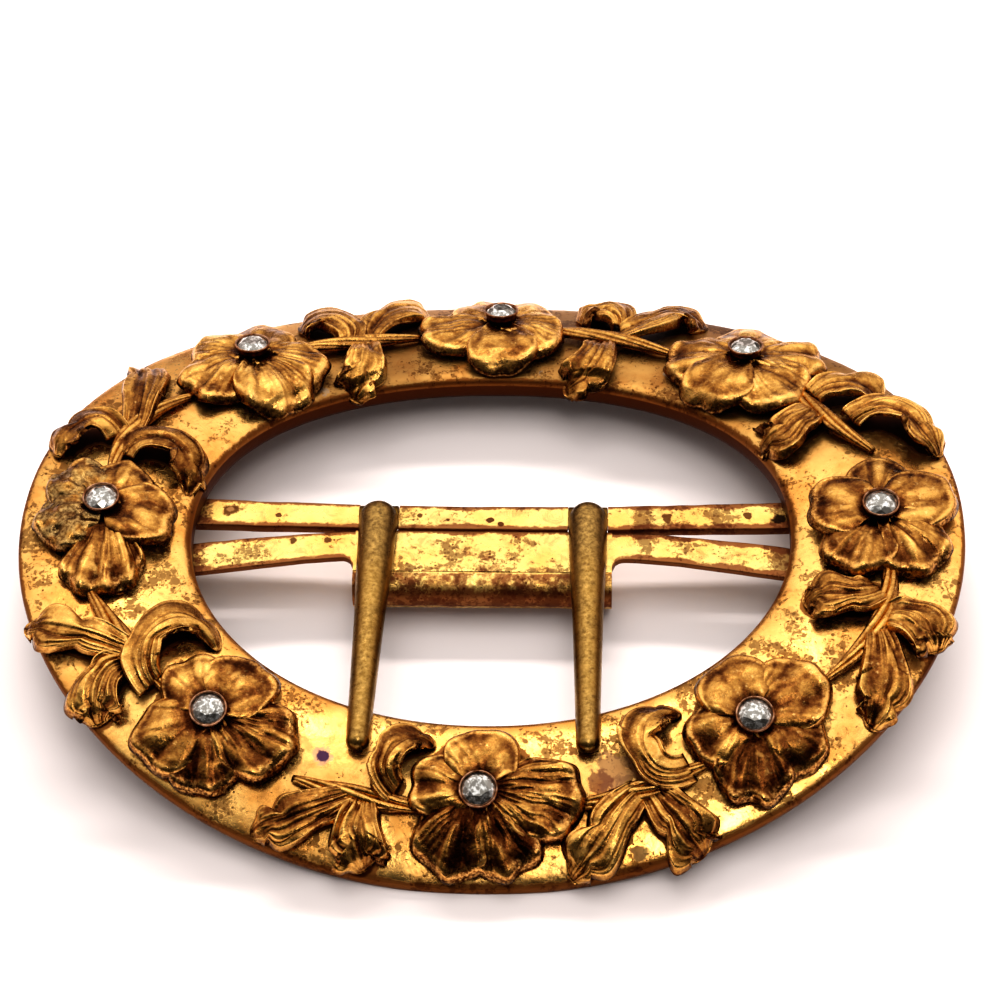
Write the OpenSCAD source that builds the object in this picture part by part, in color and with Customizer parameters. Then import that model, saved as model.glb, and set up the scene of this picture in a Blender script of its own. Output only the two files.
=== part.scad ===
// Sash buckle: a domed oval brass band, arched over its length, that carries eight five-petalled
// flowers with a small round stone each and eight sprigs of three leaves. Two flat crossbars and a
// rolled plate span the opening, and two prongs turn on the rear crossbar.
// The buckle lies face up on the plane z = 0. X runs along its length, +Y is the far long side.

/* [Frame] */
// Length of the oval band along X, mm
frame_length = 95; // [92:0.5:98]
// Width of the oval band along Y, mm
frame_width = 77; // [75:0.5:80]
// Length of the opening along X, mm
opening_length = 60.6; // [59:0.2:62]
// Width of the opening along Y, mm
opening_width = 45.4; // [44:0.2:46]
// Height of the arch in the middle, mm
arch_rise = 8.7; // [8.4:0.1:9.4]
// Stations around the band, a multiple of four
band_stations = 72; // [48:4:96]

/* [Crossbars] */
// Height of the top of the rear crossbar, mm
rear_bar_top = 5.95; // [5.8:0.05:6]
// Thickness of the rear crossbar, mm
rear_bar_thickness = 0.85; // [0.7:0.05:1]
// Height of the top of the plate and its arms, mm
plate_top = 5.4; // [5.2:0.05:5.45]
// Thickness of the plate, mm
plate_thickness = 0.7; // [0.5:0.05:0.8]
// Width of the plate along X, mm
plate_width = 26.2; // [25:0.2:27]
// Outer radius of the roll along the near edge of the plate, mm
roll_r = 2.2; // [1.8:0.1:2.4]

/* [Prongs] */
// Width of the head of a prong, mm
prong_head_w = 4; // [3.4:0.1:4.2]
// Width of the tip of a prong, mm
prong_tip_w = 2.3; // [1.8:0.1:2.6]
// Radius of the round neck of the rear crossbar that a prong turns on, mm
journal_r = 0.65; // [0.5:0.05:0.75]
// Clearance around that neck, mm
journal_gap = 0.07; // [0.05:0.01:0.1]

/* [Flowers] */
// Radius over the petals, mm
petal_r = 7.9; // [7:0.1:8.2]
// Height of the middle of a flower above the arch, mm
hub_top = 3.1; // [2.9:0.1:3.2]
// Thickness of the petals, mm
petal_thickness = 0.45; // [0.35:0.05:0.5]

/* [Sprigs] */
// Thickness of the leaves, mm
leaf_thickness = 0.45; // [0.35:0.05:0.5]
// Radius of the stems, mm
stem_r = 0.55; // [0.45:0.05:0.6]

/* [Stones and settings] */
// Radius of the stones at their girdle, mm
stone_r = 1.5; // [1.4:0.02:1.5]
// Outer radius of a setting at its rim, mm
rim_r = 1.84; // [1.8:0.02:2]

/* [Hidden] */
$fn = 64;

brass = [0.72, 0.58, 0.32];
worn_brass = [0.78, 0.68, 0.42];
copper = [0.45, 0.30, 0.20];
glass = [0.80, 0.82, 0.84];

half_length = frame_length / 2;
half_width = frame_width / 2;
opening_half_length = opening_length / 2;
opening_half_width = opening_width / 2;

// Both outlines of the band are superellipses, and the arch is a power curve over Y
outline_power = 2.08;
opening_power = 2.12;
arch_power = 2.25;
// How far the two feet are worn flat
foot_wear = 0.15;

// Section of the band from its outer edge (share 0) to the opening (share 1): share, height over the arch
section_top = [
    [0.00, 0.45], [0.04, 0.85], [0.12, 1.15], [0.30, 1.35], [0.55, 1.30],
    [0.75, 1.00], [0.88, 0.50], [0.96, -0.10], [1.00, -0.80]
];
section_lip = [[1.00, -2.40], [0.955, -2.40]];
section_under = [[0.95, -1.30], [0.85, -0.50], [0.60, 0.25], [0.30, 0.30], [0.05, 0.00], [0.00, 0.00]];
section = concat(section_top, section_lip, section_under);

function signed_power(v, p) = sign(v) * pow(abs(v), p);
function oval(a, b, n, t) = [a * signed_power(cos(t), 2 / n), b * signed_power(sin(t), 2 / n)];
function oval_size(x, y, a, b, n) = pow(pow(abs(x) / a, n) + pow(abs(y) / b, n), 1 / n);
function arch(y) = arch_rise * (1 - pow(abs(y) / half_width, arch_power)) - foot_wear;
function arch_slope(y) = -sign(y) * arch_rise * arch_power / half_width
    * pow(abs(y) / half_width, arch_power - 1);

// Share of the way from the outer edge of the band to the opening at a place seen from above
edge_ratio = (half_length / opening_half_length + half_width / opening_half_width) / 2;
function share(x, y) = let(
    from_outside = (1 - oval_size(x, y, half_length, half_width, outline_power)) * edge_ratio,
    from_opening = oval_size(x, y, opening_half_length, opening_half_width, opening_power) - 1
) from_outside / (from_outside + from_opening);

// Height of the band's upper face over the arch, carried on past both edges for what overhangs them
section_run = concat([[-0.3, -0.6], [-0.04, 0.35]], section_top, [[1.2, -1.8]]);
function rest(x, y) = arch(y) + lookup(max(-0.3, min(1.2, share(x, y))), section_run);

function band_point(t, s) = let(
    outer = oval(half_length, half_width, outline_power, t),
    inner = oval(opening_half_length, opening_half_width, opening_power, t),
    p = outer + s[0] * (inner - outer)
) [p[0], p[1], max(0, arch(p[1]) + s[1])];

// Solid whose skin is a grid of points that closes in both directions
module closed_grid(points, rows, columns) {
    polyhedron(
        points = points,
        faces = [
            for (r = [0 : rows - 1], c = [0 : columns - 1])
                let(
                    a = r * columns + c,
                    b = r * columns + (c + 1) % columns,
                    d = ((r + 1) % rows) * columns + c,
                    e = ((r + 1) % rows) * columns + (c + 1) % columns
                )
                each [[a, b, e], [a, e, d]]
        ]
    );
}

// Solid whose skin runs through rings of points and is closed by a flat cap at each end
module capped_grid(points, rows, columns) {
    polyhedron(
        points = points,
        faces = concat(
            [
                for (r = [0 : rows - 2], c = [0 : columns - 1])
                    let(
                        a = r * columns + c,
                        b = r * columns + (c + 1) % columns,
                        d = (r + 1) * columns + c,
                        e = (r + 1) * columns + (c + 1) % columns
                    )
                    each [[a, b, e], [a, e, d]]
            ],
            [for (c = [1 : columns - 2]) [0, c + 1, c]],
            [for (c = [1 : columns - 2]) (rows - 1) * columns * [1, 1, 1] + [0, c, c + 1]]
        )
    );
}

// Flowers, clockwise from the top middle: x, y, turn of the first petal, radius as a share of petal_r
flowers = [
    [0, 30.16, 51, 0.97],
    [26.12, 23.17, 14, 1],
    [39, 0, 21, 1],
    [26.12, -23.17, 48, 1],
    [0, -30.16, 12, 0.97],
    [-26.12, -23.17, 49, 1],
    [-39, 0, 61, 1],
    [-26.12, 23.17, 8, 1]
];

// Places the children on the arch at flower k, square to it
module at_flower(k) {
    y = flowers[k - 1][1];
    translate([flowers[k - 1][0], y, arch(y)]) rotate([atan(arch_slope(y)), 0, 0]) children();
}

// Holes for what is riveted through the band
rivet_hole_r = 0.9;
sprig_pin_r = 0.6;
sprig_hole_r = 0.68;
post_pin_r = 0.7;
post_hole_r = 0.78;
post_x = 36.5;
rear_post_y = 4.2;
arm_post_y = -2.9;

// Sprigs, clockwise from the gap between flowers 8 and 1: fork of the stem, both ends of the stem,
// then middle, tip and half width of each of the three leaves
sprigs = [
    [[-12.8, 28.0], [-9.2, 27.6], [-17.3, 26.9],
        [[-18.6, 29.8], [-22.5, 30.4], 2.2],
        [[-11.0, 33.7], [-7.7, 33.9], 2.0],
        [[-13.8, 20.7], [-16.1, 17.4], 2.4]],
    [[12.4, 29.2], [8.4, 30.6], [17.0, 27.9],
        [[10.9, 33.4], [8.4, 33.8], 1.9],
        [[17.7, 32.2], [22.3, 31.8], 2.2],
        [[9.7, 22.5], [6.3, 20.3], 2.4]],
    [[34.2, 17.0], [33.2, 19.6], [36.2, 11.6],
        [[30.8, 11.2], [28.8, 8.6], 2.3],
        [[37.6, 18.4], [40.5, 18.1], 2.0],
        [[40.0, 12.1], [45.0, 8.6], 2.3]],
    [[38.4, -11.0], [39.4, -8.6], [35.6, -17.0],
        [[34.4, -10.6], [31.4, -11.4], 2.1],
        [[42.5, -13.0], [43.9, -16.3], 2.0],
        [[38.6, -20.0], [37.0, -24.8], 2.2]],
    [[16.8, -29.8], [19.2, -28.9], [10.4, -31.2],
        [[15.2, -26.4], [17.0, -22.9], 1.8],
        [[12.0, -34.4], [9.4, -36.6], 2.1],
        [[19.8, -32.6], [22.2, -34.2], 2.0]],
    [[-10.6, -30.9], [-8.4, -31.4], [-16.2, -29.5],
        [[-8.1, -27.0], [-5.4, -25.6], 1.7],
        [[-17.0, -33.0], [-21.8, -34.2], 2.2],
        [[-11.6, -35.0], [-9.6, -36.8], 1.9]],
    [[-35.0, -17.3], [-33.6, -19.4], [-37.4, -13.2],
        [[-40.0, -15.4], [-45.0, -13.9], 2.3],
        [[-30.8, -15.8], [-26.2, -15.2], 2.1],
        [[-37.0, -22.2], [-37.6, -25.2], 2.2]],
    [[-37.4, 10.6], [-38.0, 8.5], [-33.6, 15.2],
        [[-37.2, 17.0], [-38.0, 22.6], 2.2],
        [[-41.1, 11.0], [-44.4, 8.4], 2.1],
        [[-33.4, 9.0], [-30.6, 5.2], 2.2]]
];

module frame() {
    color(brass) difference() {
        closed_grid(
            [
                for (i = [0 : band_stations - 1], s = section)
                    band_point(i * 360 / band_stations, s)
            ],
            band_stations,
            len(section)
        );
        for (k = [1 : 8]) at_flower(k) translate([0, 0, -1.5]) cylinder(h = 4, r = rivet_hole_r);
        for (s = sprigs) translate([s[0][0], s[0][1], arch(s[0][1]) - 1.5]) cylinder(h = 4, r = sprig_hole_r);
        for (side = [-1, 1], y = [rear_post_y, arm_post_y])
            translate([side * post_x, y, arch(y) - 1.5]) cylinder(h = 4, r = post_hole_r);
    }
}

// Post that carries the end of a crossbar under the band, with the pin that is riveted through the band
module bar_post(side, y, from_z) {
    post_r = 1.1;
    shoulder = arch(y) - 0.3;
    translate([side * post_x, y, from_z - 0.3]) cylinder(h = shoulder - from_z + 0.3, r = post_r);
    translate([side * post_x, y, shoulder - 0.5]) cylinder(h = arch(y) + 1.2 - shoulder + 0.5, r = post_pin_r);
}

// Prongs: X of the head, X of the tip
prong_places = [[-11.6, -11.8], [9.8, 10.25]];
journal_y = 3.65;
journal_z = rear_bar_top - rear_bar_thickness / 2;
notch_half = prong_head_w / 2 + 0.15;

// Both long edges of the rear crossbar bow towards the near side
function bar_far_edge(x) = 5.15 + 0.78 * pow(x / 29, 2);
function bar_near_edge(x) = 2.05 + 0.35 * pow(x / 29, 2);

module bar_length(x_from, x_to) {
    steps = 6;
    translate([0, 0, rear_bar_top - rear_bar_thickness])
        linear_extrude(rear_bar_thickness)
            polygon(concat(
                [for (i = [0 : steps]) let(x = x_from + (x_to - x_from) * i / steps) [x, bar_near_edge(x)]],
                [for (i = [steps : -1 : 0]) let(x = x_from + (x_to - x_from) * i / steps) [x, bar_far_edge(x)]]
            ));
}

module rear_bar() {
    // How far each neck runs into the flat bar on both sides
    neck_grip = 0.8;
    end_x = post_x + 1.6;
    left = prong_places[0][0];
    right = prong_places[1][0];
    color(worn_brass) {
        bar_length(-end_x, left - notch_half);
        bar_length(left + notch_half, right - notch_half);
        bar_length(right + notch_half, end_x);
        for (x = [left, right])
            translate([x - notch_half - neck_grip, journal_y, journal_z])
                rotate([0, 90, 0]) cylinder(h = 2 * (notch_half + neck_grip), r = journal_r);
        for (side = [-1, 1]) bar_post(side, rear_post_y, rear_bar_top);
    }
}

// Plate between the arms, its middle slightly left of the middle of the frame
plate_mid_x = -0.8;
plate_far_y = 1.82;
roll_y = -3.4;
// Right arm from the plate outwards: x, y of the far edge, y of the near edge
arm_edges = [
    [11.0, 1.82, -1.55],
    [14.8, 1.82, -1.65],
    [19.0, 1.55, -2.05],
    [24.0, 0.98, -2.85],
    [29.0, 0.28, -3.70],
    [33.0, -0.42, -4.35],
    [36.5, -1.20, -4.60]
];

module arm(side) {
    arm_end_r = 1.7;
    translate([0, 0, plate_top - plate_thickness]) {
        linear_extrude(plate_thickness)
            polygon(concat(
                [for (e = arm_edges) [side * e[0], e[1]]],
                [for (i = [len(arm_edges) - 1 : -1 : 0]) [side * arm_edges[i][0], arm_edges[i][2]]]
            ));
        translate([side * post_x, arm_post_y, 0]) cylinder(h = plate_thickness, r = arm_end_r);
    }
    bar_post(side, arm_post_y, plate_top);
}

// Fillet in the corner between an arm and the side of the plate
module corner_fillet(side) {
    fillet_r = 1.3;
    corner_x = plate_mid_x + side * plate_width / 2;
    difference() {
        translate([side > 0 ? corner_x - 0.5 : corner_x - fillet_r, -1.6 - fillet_r, plate_top - plate_thickness])
            cube([fillet_r + 0.5, fillet_r + 0.3, plate_thickness]);
        translate([corner_x + side * fillet_r, -1.6 - fillet_r, plate_top - plate_thickness - 1])
            cylinder(h = plate_thickness + 2, r = fillet_r);
    }
}

module bridge_plate() {
    // Part of a full turn that the roll takes up
    roll_turn = 250;
    color(worn_brass) {
        translate([plate_mid_x - plate_width / 2, roll_y, plate_top - plate_thickness])
            cube([plate_width, plate_far_y - roll_y, plate_thickness]);
        for (side = [-1, 1]) {
            arm(side);
            corner_fillet(side);
        }
        translate([plate_mid_x - plate_width / 2, roll_y, plate_top - roll_r])
            rotate([90, 0, 90])
                rotate([0, 0, 90])
                    rotate_extrude(angle = roll_turn)
                        translate([roll_r - plate_thickness, 0]) square([plate_thickness, plate_width]);
    }
}

// One prong: a tapered rod with round ends and a flat underside, and the eye it turns on
module prong(k) {
    head_r = prong_head_w / 2;
    tip_r = prong_tip_w / 2;
    // Depth of the flat underside below the axis of the rod
    flat_depth = 0.4;
    eye_r = 1.35;
    eye_width = 2.4;
    end_steps = 8;
    head = [prong_places[k][0], 2.87, 6.1];
    tip = [prong_places[k][1], -25.8, 7.05];
    run = tip - head;
    length = norm(run);
    rise = atan2(run[2], -run[1]);
    // Outline of the rod along its axis, from one end to the other
    outline = concat(
        [for (i = [0 : end_steps]) let(a = -90 + 90 * i / end_steps) [head_r * cos(a), head_r * sin(a)]],
        [for (i = [0 : end_steps]) let(a = 90 * i / end_steps) [tip_r * cos(a), length + tip_r * sin(a)]]
    );
    color(worn_brass) difference() {
        union() {
            difference() {
                translate(head) rotate([0, acos(run[2] / length), atan2(run[1], run[0])])
                    rotate_extrude() polygon(outline);
                translate(head) rotate([-rise, 0, 0])
                    translate([-head_r - 2, -length - 5, -flat_depth - 4])
                        cube([2 * head_r + 4, length + 10, 4]);
            }
            translate([head[0] - eye_width / 2, journal_y, journal_z])
                rotate([0, 90, 0]) cylinder(h = eye_width, r = eye_r);
        }
        translate([head[0] - head_r - 1, journal_y, journal_z])
            rotate([0, 90, 0]) cylinder(h = prong_head_w + 2, r = journal_r + journal_gap);
    }
}

module prong_left() prong(0);
module prong_right() prong(1);

// Outline of one petal: turn from its middle line, radius as a share
petal_outline = [[-36, 0.58], [-24, 0.90], [-11, 1.00], [0, 0.98], [11, 1.00], [24, 0.90]];

// Height of the band's upper face under a point of flower k, in the flower's own frame
function local_rest(k, x, y) = let(
    cy = flowers[k - 1][1],
    slope = arch_slope(cy),
    wy = cy + y * cos(atan(slope)),
    wx = flowers[k - 1][0] + x
) (rest(wx, wy) - arch(cy) - slope * (wy - cy)) * cos(atan(slope));

// Point of flower k at petal p and outline step j, on a ring of the flower's skin
// ring: radius in mm or share of the petal, 1 where it is a share, height, 1 where it is above the band
function flower_point(k, p, j, ring) = let(
    turn = flowers[k - 1][2] + 72 * p + petal_outline[j][0],
    r = ring[1] == 0 ? ring[0] : petal_r * flowers[k - 1][3] * (ring[0] < 1 ? ring[0] : petal_outline[j][1]),
    x = r * cos(turn),
    y = r * sin(turn)
) [x, y, ring[3] == 0 ? ring[2] : ring[2] + local_rest(k, x, y)];

module flower(k) {
    boss_r = 1.7;
    boss_bottom = 1.45;
    petal_mid_lift = 1.55;
    petal_edge_lift = 0.8;
    hub_thickness = 0.6;
    rings = [
        [rivet_hole_r, 0, hub_top, 0],
        [2.3, 0, hub_top - 0.05, 0],
        [0.56, 1, petal_mid_lift, 1],
        [1.00, 1, petal_edge_lift, 1],
        [1.00, 1, petal_edge_lift - petal_thickness, 1],
        [0.56, 1, petal_mid_lift - petal_thickness, 1],
        [2.1, 0, hub_top - hub_thickness, 0],
        [boss_r, 0, boss_bottom, 0],
        [rivet_hole_r, 0, boss_bottom, 0]
    ];
    color(brass) at_flower(k)
        closed_grid(
            [for (ring = rings, p = [0 : 4], j = [0 : 5]) flower_point(k, p, j, ring)],
            len(rings),
            5 * len(petal_outline)
        );
}

// Bent line through three places, at 0, 0.6 and 1 of its run
function line_point(a, b, c, s) = (s - 0.6) * (s - 1) / 0.6 * a + s * (1 - s) / 0.24 * b
    + s * (s - 0.6) / 0.4 * c;

// Leaf stations: run from the fork to the tip, share of the half width, height over the band
leaf_stations = [
    [0.00, 0.22, 1.05], [0.14, 0.26, 1.15], [0.27, 0.45, 1.35], [0.42, 0.82, 1.85],
    [0.56, 1.00, 2.20], [0.71, 0.94, 2.10], [0.87, 0.58, 1.70], [1.00, 0.10, 1.20]
];

module leaf(fork, l) {
    // Height that the edges of a leaf drop below its middle line, at its full width
    edge_drop = 0.55;
    points = [
        for (s = leaf_stations)
            let(
                c = line_point(fork, l[0], l[1], s[0]),
                ahead = line_point(fork, l[0], l[1], s[0] + 0.02) - line_point(fork, l[0], l[1], s[0] - 0.02),
                across = [-ahead[1], ahead[0]] / norm(ahead),
                w = l[2] * s[1],
                a = c - w * across,
                b = c + w * across,
                top = rest(c[0], c[1]) + s[2],
                side_a = max(top - edge_drop * s[1], rest(a[0], a[1]) + leaf_thickness + 0.15),
                side_b = max(top - edge_drop * s[1], rest(b[0], b[1]) + leaf_thickness + 0.15)
            )
            each [
                [a[0], a[1], side_a],
                [c[0], c[1], top],
                [b[0], b[1], side_b],
                [b[0], b[1], side_b - leaf_thickness],
                [c[0], c[1], top - leaf_thickness],
                [a[0], a[1], side_a - leaf_thickness]
            ]
    ];
    capped_grid(points, len(leaf_stations), 6);
}

module stem(fork, from, to) {
    steps = 6;
    sides = 6;
    // Control place that makes the bent stem run through the fork
    control = 2 * fork - (from + to) / 2;
    points = [
        for (i = [0 : steps])
            let(
                s = i / steps,
                c = pow(1 - s, 2) * from + 2 * s * (1 - s) * control + pow(s, 2) * to,
                ahead = (1 - s) * (control - from) + s * (to - control),
                across = [-ahead[1], ahead[0]] / norm(ahead),
                z = rest(c[0], c[1]) + stem_r + 0.25
            )
            for (j = [0 : sides - 1])
                let(turn = 360 * j / sides)
                [
                    c[0] - stem_r * cos(turn) * across[0],
                    c[1] - stem_r * cos(turn) * across[1],
                    z + stem_r * sin(turn)
                ]
    ];
    capped_grid(points, steps + 1, sides);
}

module sprig(k) {
    s = sprigs[k - 1];
    fork = s[0];
    foot = arch(fork[1]) - 0.05;
    color(brass) {
        stem(fork, s[1], s[2]);
        for (i = [3 : 5]) leaf(fork, s[i]);
        translate([fork[0], fork[1], foot])
            cylinder(h = rest(fork[0], fork[1]) + stem_r + 0.2 - foot, r = sprig_pin_r);
    }
}

// Setting: a cup with a turned-in rim on a shank that is flared behind the band
module setting(k) {
    rim_top = 4.34;
    base = hub_top + 0.1;
    shank_r = 0.8;
    cup_r = stone_r + 0.06;
    color(copper) at_flower(k) rotate_extrude() polygon([
        [0, -0.25], [1.3, -0.25], [shank_r, 0.1], [shank_r, base], [1.5, base], [1.66, base + 0.2],
        [1.72, rim_top - 0.3], [rim_r, rim_top - 0.2], [rim_r, rim_top - 0.06], [rim_r - 0.06, rim_top],
        [stone_r - 0.06, rim_top], [stone_r - 0.06, rim_top - 0.1], [cup_r, rim_top - 0.14],
        [cup_r, rim_top - 0.45], [0.5, base + 0.15], [0, base + 0.15]
    ]);
}

// Round stone with a flat table and a shallow pointed back
module stone(k) {
    girdle = 4.02;
    table_r = 0.85;
    color(glass) at_flower(k) rotate_extrude() polygon([
        [0, 3.42], [stone_r, girdle], [stone_r, girdle + 0.1], [table_r, 4.6], [0, 4.6]
    ]);
}

frame();
rear_bar();
bridge_plate();
prong_left();
prong_right();
for (k = [1 : 8]) {
    flower(k);
    sprig(k);
    setting(k);
    stone(k);
}
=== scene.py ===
"""The looks of the sash buckle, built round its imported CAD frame.

Lengths are in millimetres in the CAD frame, and Piece.make turns them into metres.
"""

import math

import bpy
import numpy as np
from mathutils import Matrix, Vector


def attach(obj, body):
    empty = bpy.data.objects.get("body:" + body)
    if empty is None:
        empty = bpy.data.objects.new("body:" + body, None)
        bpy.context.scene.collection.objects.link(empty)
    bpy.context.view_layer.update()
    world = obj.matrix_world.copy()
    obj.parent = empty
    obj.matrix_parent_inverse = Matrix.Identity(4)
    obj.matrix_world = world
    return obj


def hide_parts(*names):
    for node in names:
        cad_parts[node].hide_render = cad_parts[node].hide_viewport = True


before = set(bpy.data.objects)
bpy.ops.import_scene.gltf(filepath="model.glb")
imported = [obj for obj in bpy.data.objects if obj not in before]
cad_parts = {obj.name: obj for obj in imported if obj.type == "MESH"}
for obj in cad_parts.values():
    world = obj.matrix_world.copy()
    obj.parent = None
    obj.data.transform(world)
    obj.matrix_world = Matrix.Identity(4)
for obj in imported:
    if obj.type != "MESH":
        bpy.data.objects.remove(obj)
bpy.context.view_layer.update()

MM = 0.001
TAU = 2 * math.pi

# Ovals of the band, as half length, half width and exponent
OUTER = (47.5, 38.5, 2.08)
OPENING = (30.3, 22.7, 2.12)
ARCH_RISE = 8.7
ARCH_POWER = 2.25
ARCH_SINK = 0.15
# Share of the way across the band from the outer edge, and height over the arch
SECTION_TOP = ((0.00, 1.02), (0.03, 1.02), (0.08, 1.20), (0.30, 1.35), (0.55, 1.30), (0.75, 1.00),
               (0.88, 0.50), (0.96, -0.10), (1.00, -0.80), (1.20, -1.80))
SECTION_LOOP = ((0.00, 0.00), (0.00, 0.78), (0.014, 1.05), (0.06, 1.20), (0.30, 1.35), (0.55, 1.30),
                (0.75, 1.00), (0.90, 0.52), (0.975, 0.02), (1.00, -0.60), (1.00, -2.40), (0.955, -2.40),
                (0.95, -1.30), (0.85, -0.50), (0.60, 0.25), (0.30, 0.30), (0.05, 0.00))
# Turns an oval's size into a length that matches that of the opening's
OUTER_SCALE = 1.632

BAR_TOP = 5.80
PLATE_TOP = 5.5


# Numbers and noise
def smooth(x, low, high):
    """Goes from 0 at low to 1 at high, with a soft start and end."""
    q = np.clip((x - low) / (high - low), 0, 1)
    return q * q * (3 - 2 * q)


def hashed(i, j, k, seed):
    """A fixed number from -1 to 1 for each whole-numbered place."""
    h = (i * 73856093) ^ (j * 19349663) ^ (k * 83492791) ^ (seed * 26544357)
    h = (h ^ (h >> 13)) * 12741261
    return ((h ^ (h >> 16)) & 0xFFFF) / 32767.5 - 1.0


def noise(points, size, seed=0):
    """Smooth noise from -1 to 1 with lumps about size millimetres across."""
    q = np.asarray(points) / size
    base = np.floor(q).astype(np.int64)
    f = q - base
    f = f * f * (3 - 2 * f)
    total = 0
    for dx in (0, 1):
        for dy in (0, 1):
            for dz in (0, 1):
                weight = 1
                for axis, step in enumerate((dx, dy, dz)):
                    weight = weight * (f[..., axis] if step else 1 - f[..., axis])
                total = total + weight * hashed(base[..., 0] + dx, base[..., 1] + dy, base[..., 2] + dz, seed)
    return total


def streaks(v, u, across, along, seed):
    """Uneven ridges running along u with sharp valleys between them, from 0 to 1."""
    v, u = np.broadcast_arrays(v, u)
    place = np.stack([v * across, u * along, np.full(v.shape, seed * 0.731)], -1)
    return np.minimum(1.0, 2.2 * np.abs(noise(place, 1.0, seed)))


def unit(vectors):
    return vectors / np.maximum(np.linalg.norm(vectors, axis=-1, keepdims=True), 1e-9)


def circle(count):
    """Angles of equal steps round a circle."""
    return np.linspace(0, TAU, count, endpoint=False)


def with_height(plan, z):
    """Points from their places in plan and one height, or a height for each."""
    return np.concatenate([plan, np.broadcast_to(z, plan.shape[:-1])[..., None]], -1)


def spots(x, y, table, full, none, stretch=1.0, squash=1.0):
    """The strongest of some round spots at each place.

    A spot is x, y, radius and amount. It is full up to one share of its radius and ends at the other.
    """
    total = np.zeros(np.broadcast(x, y).shape)
    for spot_x, spot_y, radius, amount in table:
        away = np.hypot(x - spot_x, (y - spot_y) * squash) * stretch
        total = np.maximum(total, amount * (1 - smooth(away, full * radius, none * radius)))
    return total


def oval(a, b, n, t):
    c, s = np.cos(t), np.sin(t)
    return np.stack([a * np.sign(c) * np.abs(c) ** (2 / n), b * np.sign(s) * np.abs(s) ** (2 / n)], -1)


def oval_size(x, y, a, b, n):
    return (np.abs(x / a) ** n + np.abs(y / b) ** n) ** (1 / n)


def arch(y):
    """Height of the band's arch, which runs from the near side to the far side."""
    return ARCH_RISE * (1 - np.abs(y / OUTER[1]) ** ARCH_POWER) - ARCH_SINK


def arch_slope(y):
    return -np.sign(y) * ARCH_RISE * ARCH_POWER / OUTER[1] * np.abs(y / OUTER[1]) ** (ARCH_POWER - 1)


def band_share(x, y):
    """How far a point is across the band: 0 at the outer edge, 1 at the opening."""
    from_outer = (1 - oval_size(x, y, *OUTER)) * OUTER_SCALE
    from_opening = oval_size(x, y, *OPENING) - 1
    return np.clip(from_outer / (from_outer + from_opening), -0.3, 1.2)


def band_top(x, y):
    """Height of the band's top where a leaf or petal lies over it."""
    table = np.array(SECTION_TOP)
    return arch(y) + np.interp(band_share(x, y), table[:, 0], table[:, 1])


def through(points, s):
    """A smooth line through all the points, at a share s of its length."""
    points = np.array(points, float)
    steps = np.linalg.norm(np.diff(points, axis=0), axis=1)
    knots = np.concatenate([[0], np.cumsum(steps)]) / steps.sum()
    line = 0
    for k, knot in enumerate(knots):
        weight = np.ones_like(s)
        for other in np.delete(knots, k):
            weight = weight * (s - other) / (knot - other)
        line = line + weight[..., None] * points[k]
    return line


def directions(line):
    """Unit vectors along a line in plan, and to the left of it."""
    along = unit(np.gradient(line, axis=0))
    return along, np.stack([-along[:, 1], along[:, 0]], -1)


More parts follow.
